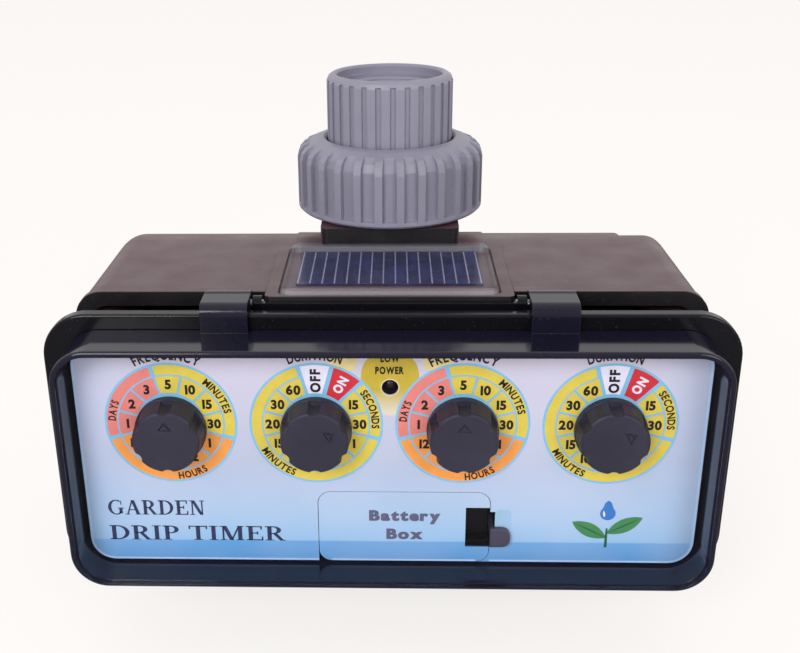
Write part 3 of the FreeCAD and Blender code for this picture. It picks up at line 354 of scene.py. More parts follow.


def dress_case():
    matte = moulded("case_matte", linear(20, 17, 20), 0.38, grain=0.35, depth=0.006,
                    edge=0.3, edge_wear_and_highlight_lift=1.8, gloss=0.45, slant_sheen=SLANT_SHEEN, dust=0.06)
    # The gloss case's strong edge lightening is a painted highlight along its edges, broken up by rubbed
    # wear.
    gloss = moulded("case_gloss", linear(14, 13, 19), 0.14, grain=2.5, depth=0.003,
                    edge=0.35, edge_wear_and_highlight_lift=3.0, gloss=0.24, dust=0.03)
    dress(matte, "case_matte", "rear_housing")
    dress(gloss, "case_gloss", "front_housing")
    cover = moulded("cover_gloss", linear(20, 19, 35), 0.12, grain=2.5, depth=0.003,
                    edge=0.35, edge_wear_and_highlight_lift=1.9, gloss=0.36, dust=0.03)
    dress(cover, "case_gloss", "cover_frame")
    dress(moulded("seal_rubber", linear(34, 33, 34), 0.7, grain=0.25, depth=0.01), "seal_rubber",
          "case_gasket", "swivel_washer", "valve_diaphragms")
    dress(metal("screw_steel", linear(176, 176, 180), 0.32), "screw_steel",
          "case_screws", "board_screws", "bonnet_screws")
    dress(metal("pin_steel", linear(200, 200, 204), 0.24), "pin_steel", "cover_hinge_pins")
    dress(clear("clear_window", (0.992, 0.992, 0.996, 1), 0.002, 0.05, 1.16), "clear_window",
          "cover_window")


def dress_face():
    print_sheet = label_print("printed_label")
    dress(print_sheet, "printed_label", "face_label", "battery_label")
    # The knobs' lightened edges are a painted highlight round the face rim, with some rubbed wear.
    knob = moulded("knob_black", linear(45, 43, 58), 0.42, grain=0.4, depth=0.006, edge=0.25,
                   edge_wear_and_highlight_lift=2.2, gloss=0.2, dust=0.05)
    shaft = moulded("shaft_plastic", linear(214, 212, 206), 0.45)
    for name in DIAL_NAMES:
        dress(knob, "knob_black", name + "_knob")
        dress(shaft, "shaft_plastic", name + "_shaft")
    dress(moulded("led_red", linear(28, 11, 15), 0.25, mottle=0.05), "led_red", "low_power_led")
    dress(moulded("latch_grey", linear(62, 59, 78), 0.4, edge_wear_and_highlight_lift=1.3), "latch_grey",
          "battery_latch")


def dress_electrics():
    dress(moulded("switch_plastic", linear(40, 62, 110), 0.4), "switch_plastic", "rotary_switches")
    dress(moulded("circuit_board", linear(28, 84, 52), 0.38, grain=1.2, depth=0.01),
          "circuit_board", "control_board")
    dress(moulded("chip_black", linear(28, 28, 30), 0.5), "chip_black", "timer_chip")
    dress(moulded("capacitor_sleeve", linear(34, 38, 74), 0.3), "capacitor_sleeve",
          "board_capacitors")
    dress(moulded("plug_white", linear(222, 218, 204), 0.45, edge_wear_and_highlight_lift=1.1), "plug_white",
          "board_plugs")
    dress(moulded("cell_wrap", linear(62, 110, 70), 0.3), "cell_wrap", "battery_cells")
    dress(metal("contact_metal", linear(188, 182, 168), 0.3), "contact_metal",
          "battery_contacts")
    dress(moulded("bay_plastic", linear(14, 13, 17), 0.4, gloss=0.25), "bay_plastic", "battery_bay",
          "battery_tray")
    dress(moulded("lead_red", linear(160, 28, 26), 0.4), "lead_red", "battery_leads")
    dress(moulded("lead_black", linear(28, 28, 30), 0.4), "lead_black", "solar_leads",
          "solenoid_leads")
    dress(metal("coil_copper", linear(184, 108, 66), 0.35), "coil_copper", "solenoid_coils")
    steel = metal("plunger_steel", linear(186, 186, 190), 0.25)
    dress(steel, "plunger_steel", "left_plunger", "right_plunger")
    return steel


def dress_water():
    grey = moulded("tap_grey", linear(129, 127, 144), 0.42, grain=0.8, depth=0.01, mottle=0.05,
                   edge=0.3, edge_wear_and_highlight_lift=1.22, dust=0.04)
    dress(grey, "tap_grey", "swivel_nut", "tap_adaptor", "tap_reducer")
    dress(moulded("washer_rubber", linear(52, 50, 54), 0.6), "washer_rubber", "tap_washer")
    dress(moulded("filter_plastic", linear(196, 196, 198), 0.45, edge_wear_and_highlight_lift=1.15),
          "filter_plastic", "inlet_filter")
    valve = moulded("valve_plastic", linear(34, 32, 36), 0.42, edge_wear_and_highlight_lift=2.0, dust=0.06)
    dress(valve, "valve_plastic", "inlet_spigot", "inlet_manifold", "valve_bodies",
          "valve_bonnets")
    return grey, valve


def dress_solar():
    # The bezel carries the same painted slant sheen as the case.
    bezel = moulded("solar_bezel", linear(22, 19, 22), 0.38, edge=0.3, edge_wear_and_highlight_lift=1.8,
                    gloss=0.45, slant_sheen=SLANT_SHEEN)
    dress(bezel, "solar_bezel", "solar_bezel")
    dress(silicon("solar_silicon"), "solar_silicon", "solar_cell")
    # The lens's front walls get the painted highlight, whitened as a light edge strip.
    dress(clear("clear_lens", (0.97, 0.97, 0.985, 1), 0.004, 0.10, 1.12, front=0.12), "clear_lens",
          "solar_lens")


# ---------------------------------------------------------------- flat prints on the face

def face_point(x, z, proud):
    return Vector((x * MM, FACE_Y - proud * MM, DIAL_Z + z * MM))


def add_prism(mesh, outline, back, front):
    """A thin closed solid over an (x, z) outline, between two distances proud of the face."""
    rear = [mesh.verts.new(face_point(x, z, back)) for x, z in outline]
    fore = [mesh.verts.new(face_point(x, z, front)) for x, z in outline]
    mesh.faces.new(rear)
    mesh.faces.new(fore[::-1])
    for i in range(len(outline)):
        j = (i + 1) % len(outline)
        mesh.faces.new((rear[j], rear[i], fore[i], fore[j]))


def add_band(mesh, outer, inner, back, front):
    """A thin closed ring between two (x, z) outlines that have the same number of points."""
    loops = [[mesh.verts.new(face_point(x, z, proud)) for x, z in outline]
             for outline, proud in ((outer, back), (outer, front), (inner, front), (inner, back))]
    for first, second in zip(loops, loops[1:] + loops[:1]):
        for i in range(len(first)):
            j = (i + 1) % len(first)
            mesh.faces.new((first[i], first[j], second[j], second[i]))


def clock(centre, radius, angle):
    """The point at a clock angle, in degrees from straight up, round a centre."""
    turn = math.radians(angle)
    return (centre[0] + radius * math.sin(turn), centre[1] + radius * math.cos(turn))


def circle(centre, radius, points=96):
    return [clock(centre, radius, 360 * i / points) for i in range(points)]


def sector(centre, inner, outer, start, end, gap):
    """The outline between two radii and two clock angles, drawn in by half a gap at each side."""
    def arc(radius, first, last):
        inset = math.degrees(gap / 2 / radius)
        sign = 1 if last > first else -1
        first, last = first + sign * inset, last - sign * inset
        steps = max(2, int(abs(last - first) / 4))
        return [clock(centre, radius, first + (last - first) * i / steps) for i in range(steps + 1)]
    return arc(outer, start, end) + arc(inner, end, start)


def rounded_outline(x0, x1, z0, z1, radius, steps=6):
    points = []
    for cx, cz, start in ((x1 - radius, z1 - radius, 0), (x1 - radius, z0 + radius, 90),
                          (x0 + radius, z0 + radius, 180), (x0 + radius, z1 - radius, 270)):
        points += [clock((cx, cz), radius, start + 90 * i / steps) for i in range(steps + 1)]
    return points


def piece(name, mesh, material, body):
    """Turns a bmesh into a shown piece that rides on a CAD body."""
    bmesh.ops.remove_doubles(mesh, verts=mesh.verts, dist=1e-8)
    bmesh.ops.recalc_face_normals(mesh, faces=mesh.faces)
    data = bpy.data.meshes.new(name)
    mesh.to_mesh(data)
    mesh.free()
    data.materials.append(material)
    made = bpy.data.objects.new(name, data)
    bpy.context.scene.collection.objects.link(made)
    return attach(made, body)


def printed(name, outlines, material, back, front, body="case"):
    mesh = bmesh.new()
    for outline in outlines:
        add_prism(mesh, outline, back, front)
    return piece(name, mesh, material, body)


# ---------------------------------------------------------------- sans serif lettering

def glyph(character, bold):
    """A character's closed mesh, 1 mm thick, in the font's own units."""
    curve = bpy.data.curves.new("glyph", "FONT")
    curve.body = character
    curve.extrude = 0.5
    curve.offset = bold
    curve.resolution_u = 4
    holder = bpy.data.objects.new("glyph", curve)
    bpy.context.scene.collection.objects.link(holder)
    bpy.context.view_layer.update()
    depsgraph = bpy.context.evaluated_depsgraph_get()
    mesh = bpy.data.meshes.new_from_object(holder.evaluated_get(depsgraph))
    bpy.data.objects.remove(holder)
    bpy.data.curves.remove(curve)
    return mesh


GLYPHS = {}


def glyph_span(character, bold):
    """A character's mesh with its left and right limits, kept for the next use."""
    key = (character, bold)
    if key not in GLYPHS:
        mesh = glyph(character, bold)
        xs = [v.co.x for v in mesh.vertices]
        GLYPHS[key] = (mesh, min(xs), max(xs))
    return GLYPHS[key]


BOLD = 0.048                        # how far strokes are thickened, in the font's own units
ARC_BOLD = 0.034                    # the same for the words round the dials
CAP = 0.729                         # the built-in font's capital height


class Lettering:
    """Words of one ink, gathered into one mesh."""

    def __init__(self, back, front):
        self.mesh = bmesh.new()
        self.back = back
        self.front = front

    def character(self, character, middle_x, base_z, turn, cap, squeeze, bold=BOLD):
        """Sets one character with its foot's middle at (middle_x, base_z), turned clockwise."""
        mesh, left, right = glyph_span(character, bold)
        scale = cap / CAP
        turned = Matrix.Rotation(math.radians(-turn), 3, "Z")
        copy = mesh.copy()
        for vertex in copy.vertices:
            flat = Vector(((vertex.co.x - (left + right) / 2) * scale * squeeze,
                           vertex.co.y * scale, 0))
            flat = turned @ flat
            proud = self.front if vertex.co.z > 0 else self.back
            vertex.co = face_point(middle_x + flat.x, base_z + flat.y, proud)
        self.mesh.from_mesh(copy)
        bpy.data.meshes.remove(copy)

    def widths(self, text, cap, squeeze, gap, bold=BOLD):
        """Each character's middle along the line, with the line's middle at 0."""
        places = []
        run = 0.0
        for character in text:
            if character == " ":
                places.append(None)
                run += cap * 0.4
                continue
            _, left, right = glyph_span(character, bold)
            width = (right - left) * cap / CAP * squeeze
            places.append(run + width / 2)
            run += width + gap
        half = (run - gap) / 2
        return [None if place is None else place - half for place in places]

    def line(self, text, middle_x, base_z, cap, squeeze=1.0, gap=0.25, bold=BOLD):
        for character, along in zip(text, self.widths(text, cap, squeeze, gap, bold)):
            if along is not None:
                self.character(character, middle_x + along, base_z, 0, cap, squeeze, bold)

    def arc(self, text, centre, radius, middle_angle, cap, squeeze=1.0, gap=0.25, inward=False):
        """Text round a centre: tops outward and read clockwise, or tops inward and read the other way."""
        for character, along in zip(text, self.widths(text, cap, squeeze, gap, ARC_BOLD)):
            sign = -1 if inward else 1
            angle = middle_angle + sign * math.degrees(along / radius)
            base = radius + cap if inward else radius
            x, z = clock(centre, base, angle)
            turn = angle + (180 if inward else 0)
            self.character(character, x, z, turn, cap, squeeze, ARC_BOLD)

    def spoke(self, text, centre, start, angle, cap, squeeze=1.0, gap=0.25):
        """Text that runs straight out from a centre, with its letters' feet to the right."""
        places = self.widths(text, cap, squeeze, gap)
        for character, along in zip(text, places):
            radius = start + along - places[0]
            x, z = clock(centre, radius, angle)
            right = math.radians(angle)
            x, z = x + cap / 2 * math.cos(right), z - cap / 2 * math.sin(right)
            self.character(character, x, z, angle - 90, cap, squeeze)

    def done(self, name, material, body="case"):
        return piece(name, self.mesh, material, body)


# ---------------------------------------------------------------- serif lettering for the title

STEM = 0.165                        # widths as shares of the capitals' height
HAIR = 0.07
SERIF = 0.05


def bar(x0, x1, z0, z1):
    return [(x0, z0), (x1, z0), (x1, z1), (x0, z1)]


def stem(x, width=STEM, low=0.0, high=1.0):
    return bar(x - width / 2, x + width / 2, low, high)


def foot(x, z, half=0.17):
    """A thin serif across a stroke's end, at the capitals' foot or head."""
    return bar(x - half, x + half, z, z + SERIF)


def slant(x0, x1, width, z0=0.0, z1=1.0):
    return [(x0 - width / 2, z0), (x0 + width / 2, z0), (x1 + width / 2, z1), (x1 - width / 2, z1)]


def bowl(cx, cz, half_wide, half_high, start, end):
    """Part of a round letter, thick at its sides and thin at its head and foot."""
    def arc(wide, high, first, last):
        turns = [math.radians(first + (last - first) * i / 24) for i in range(25)]
        return [(cx + wide * math.sin(t), cz + high * math.cos(t)) for t in turns]
    return (arc(half_wide, half_high, start, end)
            + arc(half_wide - STEM, half_high - HAIR, end, start))


def title_letter(letter):
    """(width, outlines) of a capital one unit high."""
    head = 1 - SERIF
    if letter == "I":
        return 0.36, [stem(0.18), foot(0.18, 0), foot(0.18, head)]
    if letter == "T":
        return 0.78, [stem(0.39), foot(0.39, 0), bar(0.03, 0.75, 1 - HAIR, 1),
                      bar(0.03, 0.09, 0.76, 1), bar(0.69, 0.75, 0.76, 1)]
    if letter == "E":
        return 0.70, [stem(0.2), bar(0.03, 0.64, 1 - HAIR, 1), bar(0.03, 0.68, 0, HAIR),
                      bar(0.2, 0.48, 0.48, 0.55), bar(0.58, 0.64, 0.76, 1),
                      bar(0.62, 0.68, 0, 0.26), bar(0.44, 0.49, 0.4, 0.63)]
    if letter == "D":
        return 0.82, [stem(0.2), bar(0.03, 0.34, 1 - HAIR, 1), bar(0.03, 0.34, 0, HAIR),
                      bowl(0.33, 0.5, 0.46, 0.5, 0, 180)]
    if letter in "PR":
        strokes = [stem(0.2), foot(0.2, 0), bar(0.03, 0.36, 1 - HAIR, 1),
                   bar(0.2, 0.36, 0.46, 0.46 + HAIR), bowl(0.35, 0.73, 0.3, 0.27, 0, 180)]
        if letter == "P":
            return 0.68, strokes
        return 0.80, strokes + [slant(0.68, 0.4, STEM, 0.0, 0.5), foot(0.71, 0, 0.1)]
    if letter == "A":
        return 0.80, [slant(0.12, 0.39, HAIR), slant(0.66, 0.41, STEM), bar(0.2, 0.58, 0.3, 0.36),
                      foot(0.12, 0, 0.12), foot(0.66, 0, 0.15)]
    if letter == "N":
        return 0.82, [stem(0.17, HAIR), stem(0.66, HAIR), slant(0.62, 0.21, STEM),
                      foot(0.17, 0, 0.13), foot(0.14, head, 0.12), foot(0.66, head, 0.13)]
    if letter == "M":
        return 1.00, [stem(0.17, HAIR), stem(0.82), slant(0.49, 0.22, STEM), slant(0.49, 0.78, HAIR),
                      foot(0.17, 0, 0.13), foot(0.82, 0, 0.16), foot(0.15, head, 0.12),
                      foot(0.85, head, 0.13)]
    return 0.86, [bowl(0.45, 0.5, 0.41, 0.52, 130, 395), stem(0.68, STEM, 0.08, 0.42),
                  foot(0.68, 0.42, 0.15), bar(0.68, 0.73, 0.68, 0.94)]


def title_line(text, left, base, cap, wide):
    """Outlines of a line of serif capitals."""
    outlines = []
    run = left
    for letter in text:
        if letter == " ":
            run += cap * wide * 0.3
            continue
        width, strokes = title_letter(letter)
        for stroke in strokes:
            outlines.append([(run + x * cap * wide, base + z * cap) for x, z in stroke])
        run += (width + 0.03) * cap * wide
    return outlines


# ---------------------------------------------------------------- dials

RING_UP = 1.25                      # the printed rings' centres above the knobs' axes
RING_OUT = 15.15
BAND_OUT = 14.6
BAND_IN = 12.3
CELL_OUT = 11.9
CELL_IN = 7.7
LAYER_LINES = (0.002, 0.014)        # proud of the face: back and front of each printed layer
LAYER_COLOUR = (0.010, 0.026)
LAYER_WORDS = (0.020, 0.040)
THIN_LINE = 0.55
GROUP_LINE = 1.0
NUMBER_CAP = 2.2
NUMBER_R = 9.85
SHAFT_HOLE_R = 3.7
UNIT_R = 12.6                       # from a ring's centre to the inner edge of its unit words
UNIT_CAP = 1.75
HEADING_R = 15.9                    # the same for the heading over the ring
HEADING_CAP = 2.2

INKS = {
    "line_blue": linear(120, 178, 214),
    "yellow": linear(208, 187, 72),
    "orange": linear(230, 148, 68),
    "salmon": linear(216, 124, 116),
    "red": linear(198, 38, 50),
    "white": linear(216, 214, 232),
    "black": linear(26, 18, 24),
    "pale_yellow": linear(214, 198, 140),
    "title_blue": linear(44, 52, 88),
    "door_grey": linear(90, 89, 117),
    "edge_blue": linear(170, 200, 240),
    "leaf_green": linear(62, 128, 78),
    "deep_green": linear(34, 92, 66),
    "drop_blue": linear(52, 112, 186),
    "recess_blue": linear(148, 180, 210),
}
INK = {name: ink("ink_" + name, colour) for name, colour in INKS.items()}

# The cells of a dial, clockwise from the top, and the bands outside them by their start and end angles.
FREQUENCY = (("5", "yellow"), ("10", "yellow"), ("15", "yellow"), ("30", "yellow"),
             ("1", "orange"), ("2", "orange"), ("4", "orange"), ("8", "orange"), ("12", "orange"),
             ("1", "salmon"), ("2", "salmon"), ("3", "salmon"))
FREQUENCY_BANDS = ((-15, 105, "yellow"), (105, 255, "orange"), (255, 345, "salmon"))
DURATION = (None, None) + tuple((number, "yellow") for number in (
    "15", "30", "1", "3", "5", "10", "15", "20", "30", "60"))
DURATION_BANDS = ((45, 105, "yellow"), (105, 345, "yellow"))
CELL_TURN = 30                      # degrees from one cell to the next
OFF_ANGLE = 0
ON_ANGLE = CELL_TURN


def dial_cells(centre, cells, bands, duration):
    """Outlines of a dial's coloured cells and outer bands, by ink."""
    shapes = {}
    for i, cell in enumerate(cells):
        if cell:
            start = CELL_TURN * (i - 0.5)
            outline = sector(centre, CELL_IN, CELL_OUT, start, start + CELL_TURN, THIN_LINE)
            shapes.setdefault(cell[1], []).append(outline)
    for start, end, name in bands:
        shapes.setdefault(name, []).append(sector(centre, BAND_IN, BAND_OUT, start, end, GROUP_LINE))
    if duration:
        for angle, name in ((OFF_ANGLE, "white"), (ON_ANGLE, "red")):
            start = angle - CELL_TURN / 2
            shapes[name] = [sector(centre, CELL_IN, BAND_OUT, start, start + CELL_TURN, GROUP_LINE)]
    return shapes


def dial_words(name, centre, cells, duration):
    """A dial's numbers, unit words and title in black ink."""
    words = Lettering(*LAYER_WORDS)
    for i, cell in enumerate(cells):
        if cell:
            x, z = clock(centre, NUMBER_R, CELL_TURN * i)
            words.line(cell[0], x, z - NUMBER_CAP / 2, NUMBER_CAP, 0.98, 0.15)
    if duration:
        words.arc("SECONDS", centre, UNIT_R, 73.5, UNIT_CAP, 0.85, 0.12)
        words.arc("MINUTES", centre, UNIT_R, 222, UNIT_CAP, 0.88, 0.15, inward=True)
        words.arc("DURATION", centre, HEADING_R, 0, HEADING_CAP, 0.72, 0.12)
        words.spoke("OFF", centre, 9.1, OFF_ANGLE, 2.2, 0.95, 0.35)
        white = Lettering(*LAYER_WORDS)
        white.spoke("ON", centre, 10.2, ON_ANGLE, 2.1, 0.85, 0.3)
        white.done(name + "_on_word", INK["white"])
    else:
        words.arc("MINUTES", centre, UNIT_R, 58, UNIT_CAP, 0.9, 0.15)
        words.arc("DAYS", centre, UNIT_R, 284, UNIT_CAP, 0.72, 0.1)
        words.arc("HOURS", centre, UNIT_R, 162, UNIT_CAP, 0.8, 0.1, inward=True)
        words.arc("FREQUENCY", centre, HEADING_R, 0, HEADING_CAP, 0.78, 0.2)
    words.done(name + "_words", INK["black"])


def dial(name):
    """The printed ring round one knob."""
    duration = "duration" in name
    cells = DURATION if duration else FREQUENCY
    bands = DURATION_BANDS if duration else FREQUENCY_BANDS
    centre = (middle(name + "_knob").x / MM, RING_UP)
    lines = bmesh.new()
    add_band(lines, circle(centre, RING_OUT), circle((centre[0], 0), SHAFT_HOLE_R), *LAYER_LINES)
    piece(name + "_lines", lines, INK["line_blue"], "case")
    for colour, outlines in dial_cells(centre, cells, bands, duration).items():
        printed(name + "_" + colour, outlines, INK[colour], *LAYER_COLOUR)
    dial_words(name, centre, cells, duration)


# ---------------------------------------------------------------- the rest of the printed face

LAMP_HOLE_R = 1.95
LAMP_CAP = 1.7
PATCH_TOP = PANEL_HIGH - 0.15
# Corners (out, up) from the lamp's hole that the right half of its patch is drawn towards, from the top down.
PATCH_HALF = ((2.4, 8.8), (6.0, 6.4), (6.8, 0.8))
PATCH_FOOT = (2.2, -7.0)
LOBE_OUT = 10.4                     # the middle of a pale lobe beside the patch
LOBE_FOOT = 14.2
FILM_LINES = (0.0015, 0.010)        # proud of the face, for the films under the dials' print


def smoothed(points):
    """A smooth closed outline drawn towards (x, z) corners, by cutting them four times."""
    for _ in range(4):
        cut = []
        for (ax, az), (bx, bz) in zip(points, points[1:] + points[:1]):
            cut.append((ax * 0.75 + bx * 0.25, az * 0.75 + bz * 0.25))
            cut.append((ax * 0.25 + bx * 0.75, az * 0.25 + bz * 0.75))
        points = cut
    return points


def patch_outline():
    """The lamp's patch, clockwise from the middle of its top."""
    corners = [(-out, up) for out, up in PATCH_HALF[::-1]] + list(PATCH_HALF)
    corners += [PATCH_FOOT, (-PATCH_FOOT[0], PATCH_FOOT[1])]
    points = smoothed([(LED_X + out, LED_UP + up) for out, up in corners])
    points = [(x, min(z, PATCH_TOP)) for x, z in points]
    start = min(range(len(points)), key=lambda i: abs(points[i][0] - LED_X) - points[i][1])
    return points[start:] + points[:start]


def power_patch():
    """The low power lamp's yellow patch, with a pale lobe on each side and a pale rim round the hole."""
    at = (LED_X, LED_UP)
    outline = patch_outline()
    hole = [clock(at, LAMP_HOLE_R, 360 * (i + 0.5) / len(outline)) for i in range(len(outline))]
    pale = (linear(208, 200, 180), DIAL_Z + (LED_UP - 6.0) * MM, DIAL_Z + (LED_UP - 0.5) * MM)
    mesh = bmesh.new()
    add_band(mesh, outline, hole, 0.0015, 0.008)
    piece("power_patch", mesh, ink("ink_gold", linear(186, 163, 50), pale), "case")
    mesh = bmesh.new()
    add_band(mesh, circle(at, LAMP_HOLE_R + 0.2, 48), circle(at, LAMP_HOLE_R, 48), 0.004, 0.012)
    piece("power_rim", mesh, INK["pale_yellow"], "case")
    lobes = []
    for x in (LED_X - LOBE_OUT, LED_X + LOBE_OUT):
        lobes.append(smoothed([(x - 3.4, LOBE_FOOT), (x - 3.0, PATCH_TOP), (x + 3.0, PATCH_TOP),
                               (x + 3.4, LOBE_FOOT)]))
    printed("power_lobes", lobes, INK["pale_yellow"], 0.001, 0.006)
    words = Lettering(*LAYER_WORDS)
    words.line("LOW", LED_X, LED_UP + 6.3, LAMP_CAP, 0.68, 0.12)
    words.line("POWER", LED_X - 0.1, LED_UP + 3.4, LAMP_CAP, 0.68, 0.12)
    words.done("power_words", INK["black"])


DOOR_LOW, DOOR_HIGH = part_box("battery_label")
DOOR_X0, DOOR_X1 = DOOR_LOW.x / MM, DOOR_HIGH.x / MM
DOOR_Z0 = (DOOR_LOW.z - DIAL_Z) / MM


DOOR_CAP = 2.75


def battery_words():
    """The door's words, struck twice, a hair apart, for heavy letters, and the pale line along its foot."""
    middle_x = (DOOR_X0 + DOOR_X1) / 2 + 0.2
    for name, shift, lift in (("battery_words", -0.09, 0.0), ("battery_words_again", 0.09, 0.004)):
        words = Lettering(LAYER_WORDS[0] + lift, LAYER_WORDS[1] + lift)
        words.line("Battery", middle_x + shift, -24.0, DOOR_CAP, 1.12, 0.36, 0.045)
        words.line("Box", middle_x + shift, -29.0, DOOR_CAP, 1.12, 0.36, 0.045)
        words.done(name, INK["door_grey"], "battery_box")
    edge = bar(DOOR_X0 + 3, DOOR_X1 - 3, DOOR_Z0 + 0.05, DOOR_Z0 + 0.5)
    printed("door_edge", [edge], INK["edge_blue"], *FILM_LINES, "battery_box")


def latch_patch():
    """The paler patch above the latch's tab, which the tab covers when it slides up to lock."""
    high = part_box("battery_latch")[1]
    right = high.x / MM
    top = (high.z - DIAL_Z) / MM + 4.6
    patch = rounded_outline(right - 3.6, right + 0.2, top - 6.0, top, 1.2)
    printed("latch_patch", [patch], INK["recess_blue"], 0.001, 0.008)


BORDER_OUT = 0.1                    # from the label's edge to the border line's two sides
BORDER_IN = 0.55


def label_border():
    """The pale line printed round the label's edge, broken where the battery door crosses it."""
    mesh = bmesh.new()
    outer = rounded_outline(-PANEL_HALF + BORDER_OUT, PANEL_HALF - BORDER_OUT, PANEL_LOW + BORDER_OUT,
                            PANEL_HIGH - BORDER_OUT, 5.4)
    inner = rounded_outline(-PANEL_HALF + 0.6, PANEL_HALF - 0.6, PANEL_LOW + BORDER_IN,
                            PANEL_HIGH - BORDER_IN, 5.0)
    count = len(outer)
    for i in range(count):
        j = (i + 1) % count
        if max(outer[i][1], outer[j][1]) > PANEL_LOW + 2 * BORDER_OUT:
            add_prism(mesh, [outer[i], outer[j], inner[j], inner[i]], *FILM_LINES)
            continue
        for x0, x1 in ((min(outer[i][0], outer[j][0]), DOOR_X0 - 0.2),
                       (DOOR_X1 + 0.2, max(outer[i][0], outer[j][0]))):
            if x1 > x0:
                strip = bar(x0, x1, PANEL_LOW + BORDER_OUT, PANEL_LOW + BORDER_IN)
                add_prism(mesh, strip, *FILM_LINES)
    piece("label_border", mesh, INK["edge_blue"], "case")


TITLE_CAP = 3.9


def title():
    outlines = title_line("GARDEN", -66.3, -22.9, TITLE_CAP, 1.2)
    outlines += title_line("DRIP TIMER", -66.5, -29.8, TITLE_CAP, 1.57)
    printed("title_words", outlines, INK["title_blue"], *LAYER_WORDS)


def leaf(x, z, length, width, angle):
    """A pointed leaf that grows from (x, z) at a clock angle."""
    points = []
    steps = 10
    for side in (1, -1):
        for i in range(steps):
            along = i / steps if side > 0 else 1 - i / steps
            out = side * width / 2 * math.sin(math.pi * along) ** 0.8
            px, pz = clock((x, z), length * along, angle)
            turn = math.radians(angle)
            points.append((px + out * math.cos(turn), pz - out * math.sin(turn)))
    return points


def drop(x, z, size):
    """A water drop whose tip is size mm above its round middle."""
    points = []
    for i in range(24):
        angle = 15 * i
        stretch = 1 + 0.95 * max(0.0, math.cos(math.radians(angle))) ** 12
        points.append(clock((x, z), size * 0.5 * stretch, angle))
    return points


EMBLEM_AT = (50.6, -31.0)           # the foot of the sprout


def emblem():
    """A generic sprout and water drop in the corner."""
    x, z = EMBLEM_AT
    stalk = [(x - 0.35, z), (x + 0.35, z), (x + 0.22, z + 5.2), (x - 0.22, z + 5.2)]
    printed("emblem_stalk", [stalk], INK["deep_green"], *LAYER_COLOUR)
    printed("emblem_leaves", [leaf(x, z + 2.6, 9.2, 3.6, -62), leaf(x, z + 3.8, 9.2, 3.6, 62)],
            INK["leaf_green"], *LAYER_COLOUR)
    veins = [leaf(x - 0.3, z + 2.8, 8.0, 0.42, -62), leaf(x + 0.3, z + 4.0, 8.0, 0.42, 62)]
    printed("emblem_veins", veins, INK["deep_green"], *LAYER_WORDS)
    printed("emblem_drop", [drop(x, z + 9.2, 3.6)], INK["drop_blue"], *LAYER_COLOUR)
    printed("emblem_glint", [leaf(x - 0.75, z + 8.2, 1.8, 0.5, -8)], INK["white"], *LAYER_WORDS)


# ---------------------------------------------------------------- threads and solar fingers

def add_thread(mesh, centre, root, crest, low, high, pitch, hand=1):
    """A closed helical ridge from low to high, in metres, whose crest may be inside or outside its root."""
    steps = 48
    turns = (high - low) / pitch
    count = int(turns * steps)
    half = pitch * 0.42
    rings = []
    for i in range(count + 1):
        angle = hand * 2 * math.pi * i / steps
        z = low + pitch * i / steps
        fade = min(1.0, i / 10, (count - i) / 10)
        tip = root + (crest - root) * fade
        buried = root - (crest - root) * 0.15
        profile = ((buried, z - half), (tip, z - half * 0.18), (tip, z + half * 0.18),
                   (buried, z + half))
        rings.append([mesh.verts.new((centre.x + r * math.cos(angle), centre.y + r * math.sin(angle), h))
                      for r, h in profile])
    for first, second in zip(rings, rings[1:]):
        for i in range(4):
            j = (i + 1) % 4
            mesh.faces.new((first[i], first[j], second[j], second[i]))
    mesh.faces.new(rings[0][::-1])
    mesh.faces.new(rings[-1])


THREAD_PITCH = 1.814                # of both G1/2 and G3/4
TAP_ROOT_R = 10.5
TAP_CREST_R = 9.35
TAP_LEAD_IN = 1.2


def tap_thread(material):
    """The G1/2 thread inside the reducer."""
    low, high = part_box("tap_reducer")
    mesh = bmesh.new()
    add_thread(mesh, Vector((0, 0, 0)), TAP_ROOT_R * MM, TAP_CREST_R * MM,
               low.z + TAP_LEAD_IN * MM, high.z - TAP_LEAD_IN * MM, THREAD_PITCH * MM, -1)
    piece("tap_thread_ridge", mesh, material, "swivel")


def add_turned(mesh, centre, outline, steps=64):
    """A closed solid turned about an upright line from an outline of (radius, height) in metres."""
    rings = []
    for i in range(steps):
        angle = 2 * math.pi * i / steps
        rings.append([mesh.verts.new((centre.x + r * math.cos(angle), centre.y + r * math.sin(angle), z))
                      for r, z in outline])
    for first, second in zip(rings, rings[1:] + rings[:1]):
        for i in range(len(outline)):
            j = (i + 1) % len(outline)
            mesh.faces.new((first[i], first[j], second[j], second[i]))


OUTLET_ROOT_R = 12.1
OUTLET_CREST_R = 13.2
OUTLET_THREAD = (1.4, 15.4)         # the thread's ends above the outlet's end
COLLAR_R = 13.5
VALVE_R = 15.8
PIPE_R = 9.0
CHAMBER_R = 11.5
VALVE_OUTLINE = (                   # (radius, height above the outlet's end), up the outside, down the bore
    (PIPE_R, 0), (11.6, 0), (OUTLET_ROOT_R, 0.8), (OUTLET_ROOT_R, 16.5), (COLLAR_R, 16.5),
    (COLLAR_R, 22.4), (VALVE_R, 25.0), (VALVE_R, 44.0), (CHAMBER_R, 44.0), (CHAMBER_R, 31.0),
    (PIPE_R, 31.0),
)


